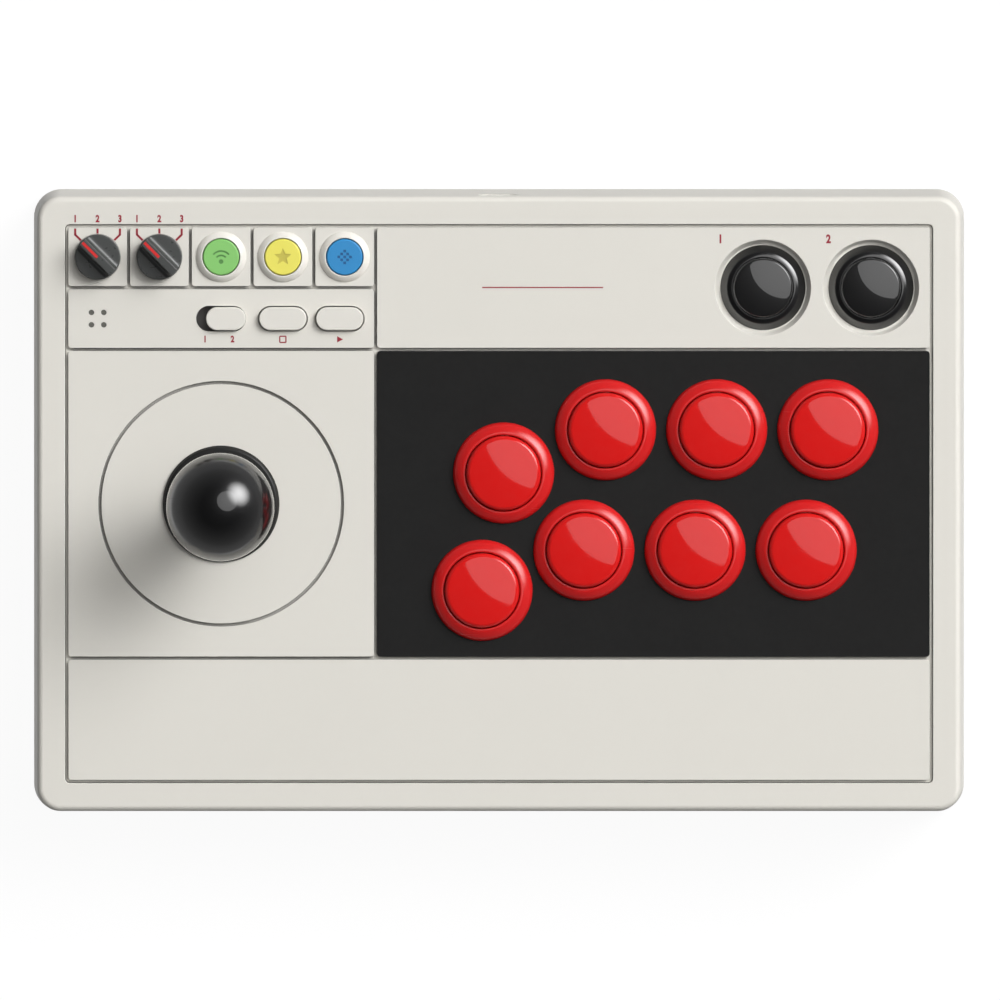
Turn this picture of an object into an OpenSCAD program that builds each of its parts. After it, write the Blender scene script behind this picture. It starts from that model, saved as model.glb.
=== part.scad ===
// Arcade joystick panel: a ball-top lever, eight 30 mm push buttons, two 24 mm push buttons,
// two rotary selectors, three round keys, two pill keys and a slide switch on a grooved plate.
// Origin: centre of the footprint, on the table. +X right, +Y away from the player, +Z up.

/* [Housing] */
// Width of the housing at the foot of its walls
housing_w = 302.2; // [288:0.2:380]
// Depth of the housing at the foot of its walls
housing_d = 202.2; // [190:0.2:260]
// Height of the top face above the table
top_h = 52; // [52:0.5:70]
// How far each side wall leans out between its top and its foot
wall_draft = 1.5; // [0.5:0.1:2.5]
// Thickness of the housing's walls
wall_t = 2.5; // [2:0.1:3]
// Thickness of the housing's deck under the face plate
deck_t = 2; // [1.6:0.1:2.6]
// Corner radius of the housing at its foot
corner_r = 9; // [8:0.5:14]
// Rounding of the housing's top edge
edge_r = 2; // [1:0.1:2.5]
// Width of the flat rim round the face plate, edge rounding included
rim_w = 9.6; // [8:0.1:12]
// Thickness of the steel base plate
base_t = 1.5; // [1:0.1:2]
// Height of the rubber feet below the base plate
foot_h = 2.5; // [2:0.1:4]
// Radius of the long rubber feet's ends
foot_r = 6; // [4:0.5:8]

/* [Face plate] */
// Side of a small square tile, from groove to groove
tile_pitch = 20; // [18:0.5:24]
// Thickness of the steel face plate
plate_t = 2; // [1.8:0.1:2.6]
// Width of the grooves between tiles
groove_w = 1; // [0.8:0.1:1.8]
// Depth of the grooves
groove_h = 1.4; // [0.9:0.1:1.6]
// Corner radius of the tiles
tile_r = 1; // [0.5:0.1:2]
// Thickness of the black overlay on the button tile
overlay_t = 0.6; // [0.3:0.1:0.8]
// Outer diameter of the ring groove round the lever
ring_d = 79.6; // [60:0.2:84]
// Depth of the ring groove
ring_groove_h = 1.2; // [0.5:0.1:1.4]

/* [Push buttons] */
// Diameter of the holes for the eight action buttons
action_hole_d = 30.1; // [28:0.1:31]
// Diameter of the action buttons' rims
action_rim_d = 32.8; // [32:0.1:34.5]
// Diameter of the action buttons' plungers
action_plunger_d = 24.2; // [22:0.1:25]
// Diameter of the holes for the two macro buttons
macro_hole_d = 24.1; // [22:0.1:25]
// Diameter of the macro buttons' rims
macro_rim_d = 27.6; // [26:0.1:28.2]
// Diameter of the macro buttons' plungers
macro_plunger_d = 18.9; // [17:0.1:19.8]
// Mouth diameter of the dished seats of the macro buttons
dish_d = 31.2; // [31:0.1:34]
// Depth of those dished seats
dish_h = 3; // [2.4:0.1:4]
// Travel of every push-button plunger
plunger_travel = 3; // [2:0.1:3.2]
// Distance between neighbouring action buttons in a row
button_pitch = 36; // [35:0.5:38]

/* [Lever] */
// Diameter of the ball top
ball_d = 35; // [30:0.5:40]
// Height of the ball's centre above the top face
ball_lift = 43.2; // [40:0.2:50]
// Depth of the lever's pivot below the top face
pivot_depth = 18; // [17.5:0.1:19]
// Largest tilt of the lever about each axis, in degrees
tilt_max = 8.5; // [5:0.5:8.5]
// Diameter of the dust washer on the face plate
washer_d = 37.8; // [34:0.2:44]
// Diameter of the shaft cover
cover_d = 11; // [10:0.2:12]

/* [Small controls] */
// Diameter of the rotary selectors
knob_d = 15; // [13:0.5:16]
// Height of the rotary selectors above the top face
knob_h = 9; // [7:0.5:12]
// Diameter of the three coloured keys
key_d = 11.7; // [10:0.1:12.5]
// Outer diameter of the domed rings round those keys
key_ring_d = 16.4; // [15.4:0.1:17.4]
// Length of the pill-shaped openings
pill_w = 16.2; // [15:0.1:17]
// Width of the pill-shaped openings
pill_d = 8.3; // [7:0.1:9]
// Length of the slide switch's thumb piece
slider_w = 12.9; // [11:0.1:13.5]
// Travel of the small keys
key_travel = 0.6; // [0.4:0.1:0.8]
// Gap between a key or plunger and its opening, all round
key_gap = 0.25; // [0.15:0.05:0.4]

/* [Hidden] */

$fn = 96;
eps = 0.01;          // keeps cutting bodies clear of the faces they cut through
fit = 0.2;           // gap between fixed pieces that drop into each other
run = 0.05;          // radial gap of a shaft in its bore
ball_run = 0.1;      // gap of the pivot ball in its seat

// Heights, from the table up
base_z = foot_h;
base_top = base_z + base_t;
wall_foot = base_z - 0.5;
plate_z = top_h - plate_t;
deck_z = plate_z - deck_t;

// Face plate outline and its grid lines
plate_w = housing_w - 2 * (wall_draft + rim_w);
plate_d = housing_d - 2 * (wall_draft + rim_w);
left_x = -plate_w / 2;
right_x = plate_w / 2;
back_y = plate_d / 2;
front_y = -plate_d / 2;
keys_in_row = 5;
split_x = left_x + keys_in_row * tile_pitch;
strip_y = back_y - tile_pitch;
head_y = back_y - 2 * tile_pitch;
palm_y = head_y - keys_in_row * tile_pitch;
// Each tile as [x from, y from, x to, y to], groove centre to groove centre
button_tile = [split_x, palm_y, right_x, head_y];
plain_tiles = concat(
    [for (i = [0:keys_in_row - 1])
        [left_x + i * tile_pitch, strip_y, left_x + (i + 1) * tile_pitch, back_y]],
    [[left_x, head_y, split_x, strip_y],
     [split_x, head_y, right_x, back_y],
     [left_x, palm_y, split_x, head_y],
     [left_x, front_y, right_x, palm_y]]);

// Places on the face
function key_x(i) = left_x + (i + 0.5) * tile_pitch;
key_y = back_y - tile_pitch / 2;
pill_y = back_y - 1.5 * tile_pitch;
slider_x = key_x(2);
select_x = key_x(3);
start_x = select_x + 18.4;
lever = [(left_x + split_x) / 2, (head_y + palm_y) / 2];
buttons = [(split_x + right_x) / 2, (head_y + palm_y) / 2];
row_shift = [-7, -39];
upper_row = [-15.5, 24];
action_at = [for (row = [0, 1], col = [-1:2])
    buttons + upper_row + row * row_shift
    + (col < 0 ? [-33, -14 + row] : [col * button_pitch, 0])];
macro_at = [[right_x - 54.5, (back_y + head_y) / 2], [right_x - 19.5, (back_y + head_y) / 2]];

// Small keys, the board under them and what sits on it
key_stack = 6.4;
board_t = 1.6;
board_z = deck_z - key_stack;
led_pitch = 4;
pin_d = 1.7;
key_top = 1.9;
flange_t = 1.2;
stem_gap = key_travel + 0.1;
tact_h = 2.5;
slider_end_gap = 0.1;
control_board_box = [5 * tile_pitch - 6, 2 * tile_pitch];
control_board_at = [(left_x + split_x) / 2, strip_y];
board_edge = 3;      // from a board's edge to its screws
knob_shaft_d = 6;
knob_bore_h = 3.4;

// Main board, hung under the head of the panel against the rear wall
main_w = 76;
main_d = 40;
main_z = top_h - 15;
main_at = [split_x + main_w / 2 + 2, housing_d / 2 - 6 - main_d / 2];
socket = [9, 7.4, 3.3];
board_boss_d = 5.6;
board_holes = concat(
    [for (x = [-1.5, 1.5] * tile_pitch, y = [-1, 1] * (control_board_box[1] / 2 - board_edge))
        concat(control_board_at + [x, y], board_z)],
    [for (x = [-1, 1] * (main_w / 2 - board_edge - 1), y = [-1, 1] * (main_d / 2 - board_edge - 2))
        concat(main_at + [x, y], main_z)]);

// Base plate screws
boss_d = 8;
boss_inset = 7;
boss_gap = 14;        // from the main board's edge to the bosses beside it
base_holes = concat(
    [for (x = [-1, 1], y = [-1, 1]) [x * (housing_w / 2 - boss_inset), y * (housing_d / 2 - boss_inset)]],
    [for (x = [-1, 1], y = [-1, 1])
        [main_at[0] + x * (main_w / 2 + boss_gap), y * (housing_d / 2 - boss_inset)]],
    [for (x = [-1, 1]) [x * (housing_w / 2 - boss_inset), 0]]);
screw_d = 3;
screw_head_d = 5.6;
screw_head_h = 1.6;
screw_l = 9;

// Push buttons: heights below the face they clamp to
rim_h = 3.2;
crown_r = 1.4;
foot_edge = 0.3;
plunger_rise = 5.6;
body_depth = 20;
floor_t = 2;
skirt_t = 1.3;
skirt_depth = 12;
lug_z = -10;
lug_h = 2;
switch_box = [12.8, 6.5, 9];
blade = [0.6, 3, 5];
blade_at = 4;
blade_foot = -body_depth - switch_box[2] - blade[2];
post_d = 3;
well_gap = 0.3;

// Lever
pivot_z = top_h - pivot_depth;
ball_z = top_h + ball_lift;
ball_flat = 1.3;
ball_foot = ball_z - ball_d / 2 + ball_flat;
pivot_r = 8;
pivot_half = 5.8;
shaft_r = 3;
upper_shaft_r = 4;
collar_r = 5.2;
collar_z = pivot_z + pivot_half;
cover_z = collar_z + 1.8;
thread_h = 12.6;
stick_hole_d = 24;
cup_r = 10.8;
cup_z = pivot_z - 6.4;
mount_gap = 3;
mount_t = 1.6;
mount_z = deck_z - mount_gap - mount_t;
flange_z = mount_z - 2.4;
spring_z = cup_z - 6.2;
spring_r = 7;
wire_r = 0.6;
seat_r = spring_r + 1.6;
seat_bore_r = 5.6;
seat_edge_t = 0.5;
// The seat's underside and the actuator's dish are spheres about the pivot
seat_sphere_r = norm([seat_r, pivot_z - spring_z + seat_edge_t]);
dish_gap = 0.3;
actuator_z = base_top + 2.4;
actuator_r = 6;
flange_r = 7.5;
flange_foot = pivot_z - seat_sphere_r - 1.4;
gate_t = 2.4;
gate_z = actuator_z - 1;
post_at = 24;
post_side = 7;
switch_pcb_z = gate_z + gate_t + 7.2;
micro = [10.2, 19.8, 6.4];
micro_in = 11;
gate_half = actuator_r + 0.2 + (pivot_z - actuator_z) * sin(tilt_max);
mount_box = [95, 56];
mount_screw_at = [40, 20];
washer_z = top_h + fit;
washer_t = 1.6;
slide_t = 0.8;
slide_z = deck_z + 1;
washer_swing = pivot_depth * tan(tilt_max) + 0.3;
slide_r = stick_hole_d / 2 + washer_swing + 0.7;

// ---------- shared shapes ----------

function arc(x, z, r, from, to, n = 8) =
    [for (i = [0:n]) [x + r * cos(from + (to - from) * i / n), z + r * sin(from + (to - from) * i / n)]];

module rounded_rect(w, d, r) {
    square([w - 2 * r, d], center = true);
    square([w, d - 2 * r], center = true);
    for (x = [-1, 1], y = [-1, 1])
        translate([x * (w / 2 - r), y * (d / 2 - r)]) circle(r);
}

module pill(w, d) {
    square([w - d, d], center = true);
    for (x = [-1, 1]) translate([x * (w - d) / 2, 0]) circle(d = d);
}

module slab(z, h) {
    translate([0, 0, z]) linear_extrude(h) children();
}

module tube(z, h, outer_r, inner_r) {
    translate([0, 0, z]) difference() {
        cylinder(h = h, r = outer_r);
        translate([0, 0, -eps]) cylinder(h = h + 2 * eps, r = inner_r);
    }
}

module turned(points) {
    rotate_extrude() polygon(points);
}

module tile_shape(t, inset) {
    translate([(t[0] + t[2]) / 2, (t[1] + t[3]) / 2])
        rounded_rect(t[2] - t[0] - 2 * inset, t[3] - t[1] - 2 * inset, tile_r);
}

// A round-cornered box whose walls lean out towards the foot, with a rounded top edge
module leaning_box(w, d, r, z0, z1, lean, top_r) {
    r_top = r - lean;
    hull() for (x = [-1, 1], y = [-1, 1])
        translate([x * (w / 2 - r), y * (d / 2 - r), 0])
            rotate_extrude($fn = 48)
                polygon(concat([[0, z0], [r, z0]],
                    arc(r_top - top_r, z1 - top_r, top_r, 0, 90, 6), [[0, z1]]));
}

// A pan-head screw: its head's seat is at z = 0 and it points up
module screw(length) {
    difference() {
        union() {
            cylinder(h = length, d = screw_d);
            translate([0, 0, -screw_head_h]) cylinder(h = screw_head_h, d = screw_head_d);
        }
        for (a = [0, 90]) rotate(a)
            translate([-1.4, -0.35, -screw_head_h - eps]) cube([2.8, 0.7, 0.8]);
    }
}

module screw_pilot(depth) {
    translate([0, 0, -eps]) cylinder(h = depth, d = screw_d + 2 * run);
}

// A tube of the given radius swept along a list of points
function unit(v) = v / norm(v);
function along(p, i) = unit(p[min(i + 1, len(p) - 1)] - p[max(i - 1, 0)]);
function side_of(t) = unit(cross(t, abs(t[2]) < 0.9 ? [0, 0, 1] : [1, 0, 0]));
module sweep(p, r, sides = 8) {
    rings = [for (i = [0:len(p) - 1]) let (t = along(p, i), u = side_of(t), v = cross(t, u))
        for (k = [0:sides - 1]) p[i] + r * (u * cos(360 * k / sides) + v * sin(360 * k / sides))];
    last = (len(p) - 1) * sides;
    walls = [for (i = [0:len(p) - 2], k = [0:sides - 1]) let (a = i * sides, n = (k + 1) % sides)
        each [[a + k, a + sides + k, a + n], [a + n, a + sides + k, a + sides + n]]];
    caps = [[for (k = [0:sides - 1]) k], [for (k = [sides - 1:-1:0]) last + k]];
    polyhedron(rings, concat(walls, caps));
}

// A smooth curve through hand-picked points, ends included
function smooth(p, steps) = concat(
    [for (i = [0:len(p) - 2], s = [0:steps - 1]) let (
        a = p[max(i - 1, 0)], b = p[i], c = p[i + 1], d = p[min(i + 2, len(p) - 1)], t = s / steps)
        b + 0.5 * ((c - a) * t + (2 * a - 5 * b + 4 * c - d) * t * t
            + (3 * b - a - 3 * c + d) * t * t * t)],
    [p[len(p) - 1]]);

// ---------- openings shared by the face plate and the deck ----------

module lever_place() { translate([lever[0], lever[1], 0]) children(); }

module control_openings(z, h) {
    for (i = [0, 1]) translate([key_x(i), key_y, z]) cylinder(h = h, d = knob_shaft_d + 1.4);
    for (i = [2:4]) translate([key_x(i), key_y, z]) cylinder(h = h, d = key_d + 2 * key_gap);
    for (x = [slider_x, select_x, start_x]) translate([x, pill_y, z])
        linear_extrude(h) pill(pill_w, pill_d);
    for (x = [-1, 1], y = [-1, 1])
        translate([key_x(0) + x * led_pitch / 2, pill_y + y * led_pitch / 2, z])
            cylinder(h = h, d = pin_d + 0.1);
}

module action_openings(z, h) {
    for (p = action_at) translate([p[0], p[1], z]) cylinder(h = h, d = action_hole_d);
}

// ---------- housing ----------

module housing_shell() {
    difference() {
        leaning_box(housing_w, housing_d, corner_r, wall_foot, top_h, wall_draft, edge_r);
        leaning_box(housing_w - 2 * wall_t, housing_d - 2 * wall_t, corner_r - wall_t,
            wall_foot - 1, deck_z, wall_draft, 1);
    }
}

module housing_bosses() {
    for (p = base_holes) translate([p[0], p[1], base_top]) cylinder(h = deck_z - base_top + 1, d = boss_d);
    for (p = board_holes) translate([p[0], p[1], p[2] + board_t])
        cylinder(h = deck_z - p[2] - board_t + 1, d = board_boss_d);
    lever_place() for (x = [-1, 1], y = [-1, 1])
        translate([x * mount_screw_at[0], y * mount_screw_at[1], mount_z + mount_t])
            cylinder(h = mount_gap + 1, d = boss_d);
}

socket_z = main_z + board_t + socket[2] / 2;
rear_y = housing_d / 2 - wall_draft;

module socket_opening() {
    translate([main_at[0], rear_y + wall_draft + 1, socket_z]) rotate([90, 0, 0]) {
        linear_extrude(wall_draft + 2.2) pill(13.5, 7.5);
        linear_extrude(12) pill(socket[0] + 2 * fit, socket[2] + 2 * fit);
    }
}

module top_housing() color("gainsboro") difference() {
    union() {
        housing_shell();
        housing_bosses();
    }
    slab(plate_z, plate_t + 1)
        rounded_rect(plate_w + groove_w, plate_d + groove_w, tile_r + groove_w / 2);
    control_openings(deck_z - 1, deck_t + 2);
    action_openings(deck_z - 1, deck_t + 2);
    for (p = macro_at) translate([p[0], p[1], deck_z - 1]) cylinder(h = deck_t + 2, d = dish_d + 3.6);
    lever_place() {
        translate([0, 0, deck_z - 1]) cylinder(h = deck_t + 2, d = stick_hole_d);
        translate([0, 0, slide_z - fit / 2]) cylinder(h = deck_t, r = slide_r + washer_swing + 0.4);
        for (x = [-1, 1], y = [-1, 1])
            translate([x * mount_screw_at[0], y * mount_screw_at[1], mount_z + mount_t])
                screw_pilot(mount_gap + 1.2);
    }
    for (p = base_holes) translate([p[0], p[1], base_top]) screw_pilot(screw_l + 1);
    for (p = board_holes) translate([p[0], p[1], p[2] + board_t]) screw_pilot(5);
    socket_opening();
}

module base_plate() color("dimgray") difference() {
    slab(base_z, base_t) rounded_rect(housing_w - 2 * wall_t - 1, housing_d - 2 * wall_t - 1,
        corner_r - wall_t - 0.5);
    for (p = base_holes) translate([p[0], p[1], base_z - 1]) cylinder(h = base_t + 2, d = screw_d + 0.4);
}

foot_len = 50;
foot_at = [housing_w / 2 - 45, housing_d / 2 - 26];
module rubber_feet() color("darkslategray")
    for (x = [-1, 1], y = [-1, 1]) translate([x * foot_at[0], y * foot_at[1], 0])
        linear_extrude(foot_h) pill(foot_len, 2 * foot_r);

module base_screws() color("silver")
    for (p = base_holes) translate([p[0], p[1], base_z]) screw(screw_l);

// ---------- face plate ----------

// The dished seat of a macro button, pressed into the plate
dish_t = 1.2;
dish_floor_r = macro_rim_d / 2 + 0.35;
module dish_solid() {
    turned([[0, top_h - dish_h - dish_t], [dish_floor_r + 0.9, top_h - dish_h - dish_t],
        [dish_d / 2 + 1.4, plate_z + eps], [dish_d / 2 + 1.4, plate_z + 0.5], [0, plate_z + 0.5]]);
}
module dish_cut() {
    turned([[0, top_h - dish_h], [dish_floor_r, top_h - dish_h],
        [dish_d / 2, top_h + eps], [0, top_h + eps]]);
    translate([0, 0, top_h - dish_h - dish_t - 1]) cylinder(h = dish_t + 2, d = macro_hole_d);
}

module face_plate() color("gainsboro") difference() {
    union() {
        slab(plate_z, plate_t - groove_h) rounded_rect(plate_w + groove_w - 2 * fit,
            plate_d + groove_w - 2 * fit, tile_r + groove_w / 2 - fit);
        for (t = plain_tiles) slab(plate_z, plate_t) tile_shape(t, groove_w / 2);
        slab(plate_z, plate_t - overlay_t) tile_shape(button_tile, groove_w / 2);
        for (p = macro_at) translate([p[0], p[1], 0]) dish_solid();
    }
    for (p = macro_at) translate([p[0], p[1], 0]) dish_cut();
    control_openings(plate_z - 1, plate_t + 2);
    action_openings(plate_z - 1, plate_t + 2);
    lever_place() {
        translate([0, 0, plate_z - 1]) cylinder(h = plate_t + 2, d = stick_hole_d);
        translate([0, 0, top_h - ring_groove_h]) difference() {
            cylinder(h = ring_groove_h + 1, d = ring_d);
            translate([0, 0, -1]) cylinder(h = ring_groove_h + 3, d = ring_d - 2 * groove_w);
        }
    }
}

module button_overlay() color([0.16, 0.16, 0.16]) difference() {
    slab(top_h - overlay_t, overlay_t) tile_shape(button_tile, groove_w / 2);
    action_openings(top_h - 1, 2);
}

// ---------- push buttons ----------

// Outlines of the two kinds of rim, from their outer edge in to the bore
function domed_rim(rim_d) = arc(rim_d / 2 - rim_h, 0, rim_h, 0, 90, 12);
function coned_rim(rim_d, bore_r) = concat(
    [[rim_d / 2, 0], [rim_d / 2, foot_edge]],
    arc(bore_r + 0.4, rim_h - crown_r, crown_r, 48, 90));

// The fixed body: rim, barrel with two snap tabs, slots for the plunger's lugs, floor
module button_body(rim, hole_d, plunger_d, clamp_t) {
    bore_r = plunger_d / 2 + key_gap;
    barrel_r = hole_d / 2 - 0.15;
    difference() {
        union() {
            turned(concat([[0, -body_depth], [barrel_r, -body_depth], [barrel_r, 0]], rim, [[0, rim_h]]));
            for (a = [0, 180]) rotate(a) translate([barrel_r - 0.8, -3, -clamp_t - 3.6])
                cube([1.9, 6, 3.5]);
        }
        translate([0, 0, -body_depth + floor_t]) cylinder(h = body_depth + 10, r = bore_r);
        translate([0, 0, -body_depth - 1]) cylinder(h = floor_t + 2, d = post_d + 1.2);
        for (a = [90, 270]) rotate(a)
            translate([0, -2.2, lug_z - lug_h / 2 - plunger_travel - 0.3])
                cube([hole_d, 4.4, lug_h + plunger_travel + 0.5]);
    }
}

// The moving cap: crown, skirt with two retaining lugs, and the post that works the switch
module button_plunger(plunger_d) {
    r = plunger_d / 2;
    turned(concat([[r - skirt_t, -skirt_depth], [r, -skirt_depth]],
        arc(r - 0.8, plunger_rise - 0.8, 0.8, 0, 90, 4),
        [[0, plunger_rise], [0, plunger_rise - 2], [r - skirt_t, plunger_rise - 2]]));
    for (a = [90, 270]) rotate(a) translate([r - 0.6, -1.8, lug_z - lug_h / 2])
        cube([1.5, 3.6, lug_h]);
    translate([0, 0, -body_depth - 1]) cylinder(h = body_depth + plunger_rise - 0.5, d = post_d);
}

module button_switch() {
    difference() {
        translate([-switch_box[0] / 2, -switch_box[1] / 2, -body_depth - switch_box[2]])
            cube(switch_box);
        translate([0, 0, -body_depth - 1 - plunger_travel - 0.5])
            cylinder(h = plunger_travel + 3, d = post_d + 2 * well_gap);
    }
    for (x = [-1, 1]) translate([x * blade_at - blade[0] / 2, -blade[1] / 2, blade_foot]) cube(blade);
}

module on_action(i) translate([action_at[i][0], action_at[i][1], top_h]) children();
module on_macro(i) translate([macro_at[i][0], macro_at[i][1], top_h - dish_h]) children();

module action_button_bodies() color([0.72, 0.1, 0.1])
    for (i = [0:7]) on_action(i)
        button_body(domed_rim(action_rim_d), action_hole_d, action_plunger_d, plate_t + deck_t);
module macro_button_bodies() color([0.1, 0.1, 0.1])
    for (i = [0:1]) on_macro(i)
        button_body(coned_rim(macro_rim_d, macro_plunger_d / 2 + key_gap), macro_hole_d,
            macro_plunger_d, dish_t);
module action_plunger(i) color([0.8, 0.11, 0.11]) on_action(i) button_plunger(action_plunger_d);
module macro_plunger(i) color([0.12, 0.12, 0.12]) on_macro(i) button_plunger(macro_plunger_d);
module action_microswitches() color("black") for (i = [0:7]) on_action(i) button_switch();
module macro_microswitches() color("black") for (i = [0:1]) on_macro(i) button_switch();

// ---------- lever ----------

module ball_top() color([0.08, 0.08, 0.08]) lever_place() difference() {
    translate([0, 0, ball_z]) sphere(d = ball_d);
    translate([0, 0, ball_foot - ball_d]) cylinder(h = ball_d, d = ball_d);
    translate([0, 0, ball_foot - 1]) cylinder(h = thread_h + 3, r = shaft_r + run);
}

module lever_shaft() color("silver") lever_place() difference() {
    turned([[0, base_top + 0.9], [shaft_r, base_top + 0.9], [shaft_r, collar_z], [collar_r, collar_z],
        [collar_r, cover_z], [upper_shaft_r, cover_z], [upper_shaft_r, ball_foot - fit],
        [shaft_r, ball_foot - fit], [shaft_r, ball_foot + thread_h], [0, ball_foot + thread_h]]);
    tube(ring_z, ring_t, shaft_r + 1, shaft_r - 0.5);
}

module shaft_cover() color([0.1, 0.1, 0.1]) lever_place()
    tube(cover_z, ball_foot - cover_z, cover_d / 2, upper_shaft_r + run);

module pivot_ball() color("white") lever_place() difference() {
    intersection() {
        translate([0, 0, pivot_z]) sphere(r = pivot_r);
        translate([0, 0, pivot_z - pivot_half]) cylinder(h = 2 * pivot_half, r = pivot_r + 1);
    }
    translate([0, 0, pivot_z - pivot_r]) cylinder(h = 2 * pivot_r, r = shaft_r + run);
}

module actuator() color([0.12, 0.12, 0.12]) lever_place() difference() {
    turned([[0, actuator_z], [actuator_r, actuator_z], [actuator_r, flange_foot],
        [flange_r, flange_foot], [flange_r, spring_z], [0, spring_z]]);
    translate([0, 0, pivot_z]) sphere(r = seat_sphere_r + dish_gap);
    translate([0, 0, actuator_z - 1]) cylinder(h = spring_z - actuator_z, r = shaft_r + run);
}

ring_t = 0.8;
ring_z = actuator_z - ring_t;
module retaining_ring() color("silver") lever_place() difference() {
    tube(ring_z, ring_t, shaft_r + 1.5, shaft_r - 0.45);
    translate([0, -1.6, ring_z - 1]) cube([shaft_r + 3, 3.2, ring_t + 2]);
}

module spring_seat() color([0.15, 0.15, 0.15]) lever_place() difference() {
    intersection() {
        translate([0, 0, pivot_z]) sphere(r = seat_sphere_r);
        translate([0, 0, spring_z - seat_r]) cylinder(h = seat_r, r = seat_r);
    }
    translate([0, 0, spring_z - seat_r]) cylinder(h = seat_r + 1, r = seat_bore_r);
}

spring_turns = 4;
spring_rings = 20;
module centring_spring() color("silver") lever_place() {
    n = spring_turns * spring_rings;
    rise = cup_z - spring_z - 2 * wire_r;
    sweep([for (i = [0:n]) [spring_r * cos(360 * i / spring_rings), spring_r * sin(360 * i / spring_rings),
        spring_z + wire_r + rise * i / n]], wire_r);
}

module lever_housing() color([0.2, 0.2, 0.22]) lever_place() difference() {
    union() {
        slab(flange_z, mount_z - flange_z) rounded_rect(2 * post_at + 10, 2 * post_at + 10, 3);
        translate([0, 0, cup_z]) cylinder(h = flange_z - cup_z + 1, r = cup_r);
        for (a = [0, 90]) rotate(a) slab(flange_z - 7, 8) square([2 * post_at, 2.4], center = true);
        for (x = [-1, 1], y = [-1, 1]) translate([x * post_at, y * post_at, 0]) {
            slab(switch_pcb_z + board_t, flange_z - switch_pcb_z) square(post_side + 2, center = true);
            slab(gate_z + gate_t, flange_z - gate_z) square(post_side, center = true);
            translate([0, 0, gate_z]) cylinder(h = gate_t + 1, d = 3);
        }
    }
    translate([0, 0, pivot_z]) sphere(r = pivot_r + ball_run);
    translate([0, 0, pivot_z]) cylinder(h = mount_z - pivot_z + 1, r = pivot_r + ball_run);
    for (x = [-1, 1], y = [-1, 1]) translate([x * post_at, y * post_at, mount_z + eps])
        mirror([0, 0, 1]) screw_pilot(screw_l - mount_t + 1);
}

module lever_mounting_plate() color("lightgray") lever_place() difference() {
    slab(mount_z, mount_t) rounded_rect(mount_box[0], mount_box[1], 4);
    translate([0, 0, mount_z - 1]) cylinder(h = mount_t + 2, r = cover_d / 2 + 4.6);
    for (x = [-1, 1], y = [-1, 1], at = [mount_screw_at, [post_at, post_at]])
        translate([x * at[0], y * at[1], mount_z - 1]) cylinder(h = mount_t + 2, d = screw_d + 0.4);
}

module lever_screws() color("silver") lever_place() for (x = [-1, 1], y = [-1, 1]) {
    translate([x * mount_screw_at[0], y * mount_screw_at[1], mount_z]) screw(mount_t + mount_gap + 1);
    translate([x * post_at, y * post_at, mount_z + mount_t]) mirror([0, 0, 1]) screw(screw_l);
}

module lever_switch_board() color("seagreen") lever_place() difference() {
    slab(switch_pcb_z, board_t) square(2 * post_at + post_side + 4, center = true);
    translate([0, 0, switch_pcb_z - 1]) cylinder(h = board_t + 2, r = 13);
    for (x = [-1, 1], y = [-1, 1]) translate([x * post_at, y * post_at, 0])
        slab(switch_pcb_z - 1, board_t + 2) square(post_side + 2 * fit, center = true);
}

module lever_microswitches() color([0.1, 0.1, 0.1]) lever_place() for (a = [0:90:270]) rotate(a) {
    translate([micro_in, -micro[1] / 2, switch_pcb_z - micro[2]]) cube(micro);
    translate([micro_in - 1.2, 0, switch_pcb_z - micro[2] / 2]) rotate([0, 90, 0]) cylinder(h = 2, d = 2.4);
}

connector_at = [post_at + post_side / 2 - 2.5, 0];
module lever_connector() color("ivory") lever_place()
    translate([connector_at[0] - 3.5, -7, switch_pcb_z + board_t]) cube([7, 14, 6]);

module gate_plate() color([0.75, 0.75, 0.78]) lever_place() difference() {
    slab(gate_z, gate_t) rounded_rect(2 * post_at + 10, 2 * post_at + 10, 3);
    slab(gate_z - 1, gate_t + 2) rounded_rect(2 * gate_half, 2 * gate_half, 2);
    for (x = [-1, 1], y = [-1, 1]) translate([x * post_at, y * post_at, gate_z - 1])
        cylinder(h = gate_t + 2, d = 3 + 2 * run);
}

// A round-edged washer that slides on the face plate and hides the lever's hole
module dust_washer() color([0.08, 0.08, 0.08]) lever_place()
    turned([[cover_d / 2 + 0.5, washer_z], [washer_d / 2, washer_z],
        [washer_d / 2, washer_z + washer_t - 0.8], [washer_d / 2 - 1.2, washer_z + washer_t],
        [cover_d / 2 + 0.5, washer_z + washer_t]]);

// The slotted disc between deck and face plate that keeps dust out of the lever
module washer_slide() color([0.3, 0.3, 0.3]) lever_place() difference() {
    translate([0, 0, slide_z]) cylinder(h = slide_t, r = slide_r);
    slab(slide_z - 1, slide_t + 2) rotate(90) pill(cover_d + 2 * washer_swing + 2.6, cover_d + 2);
}

// ---------- rotary selectors ----------

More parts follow.
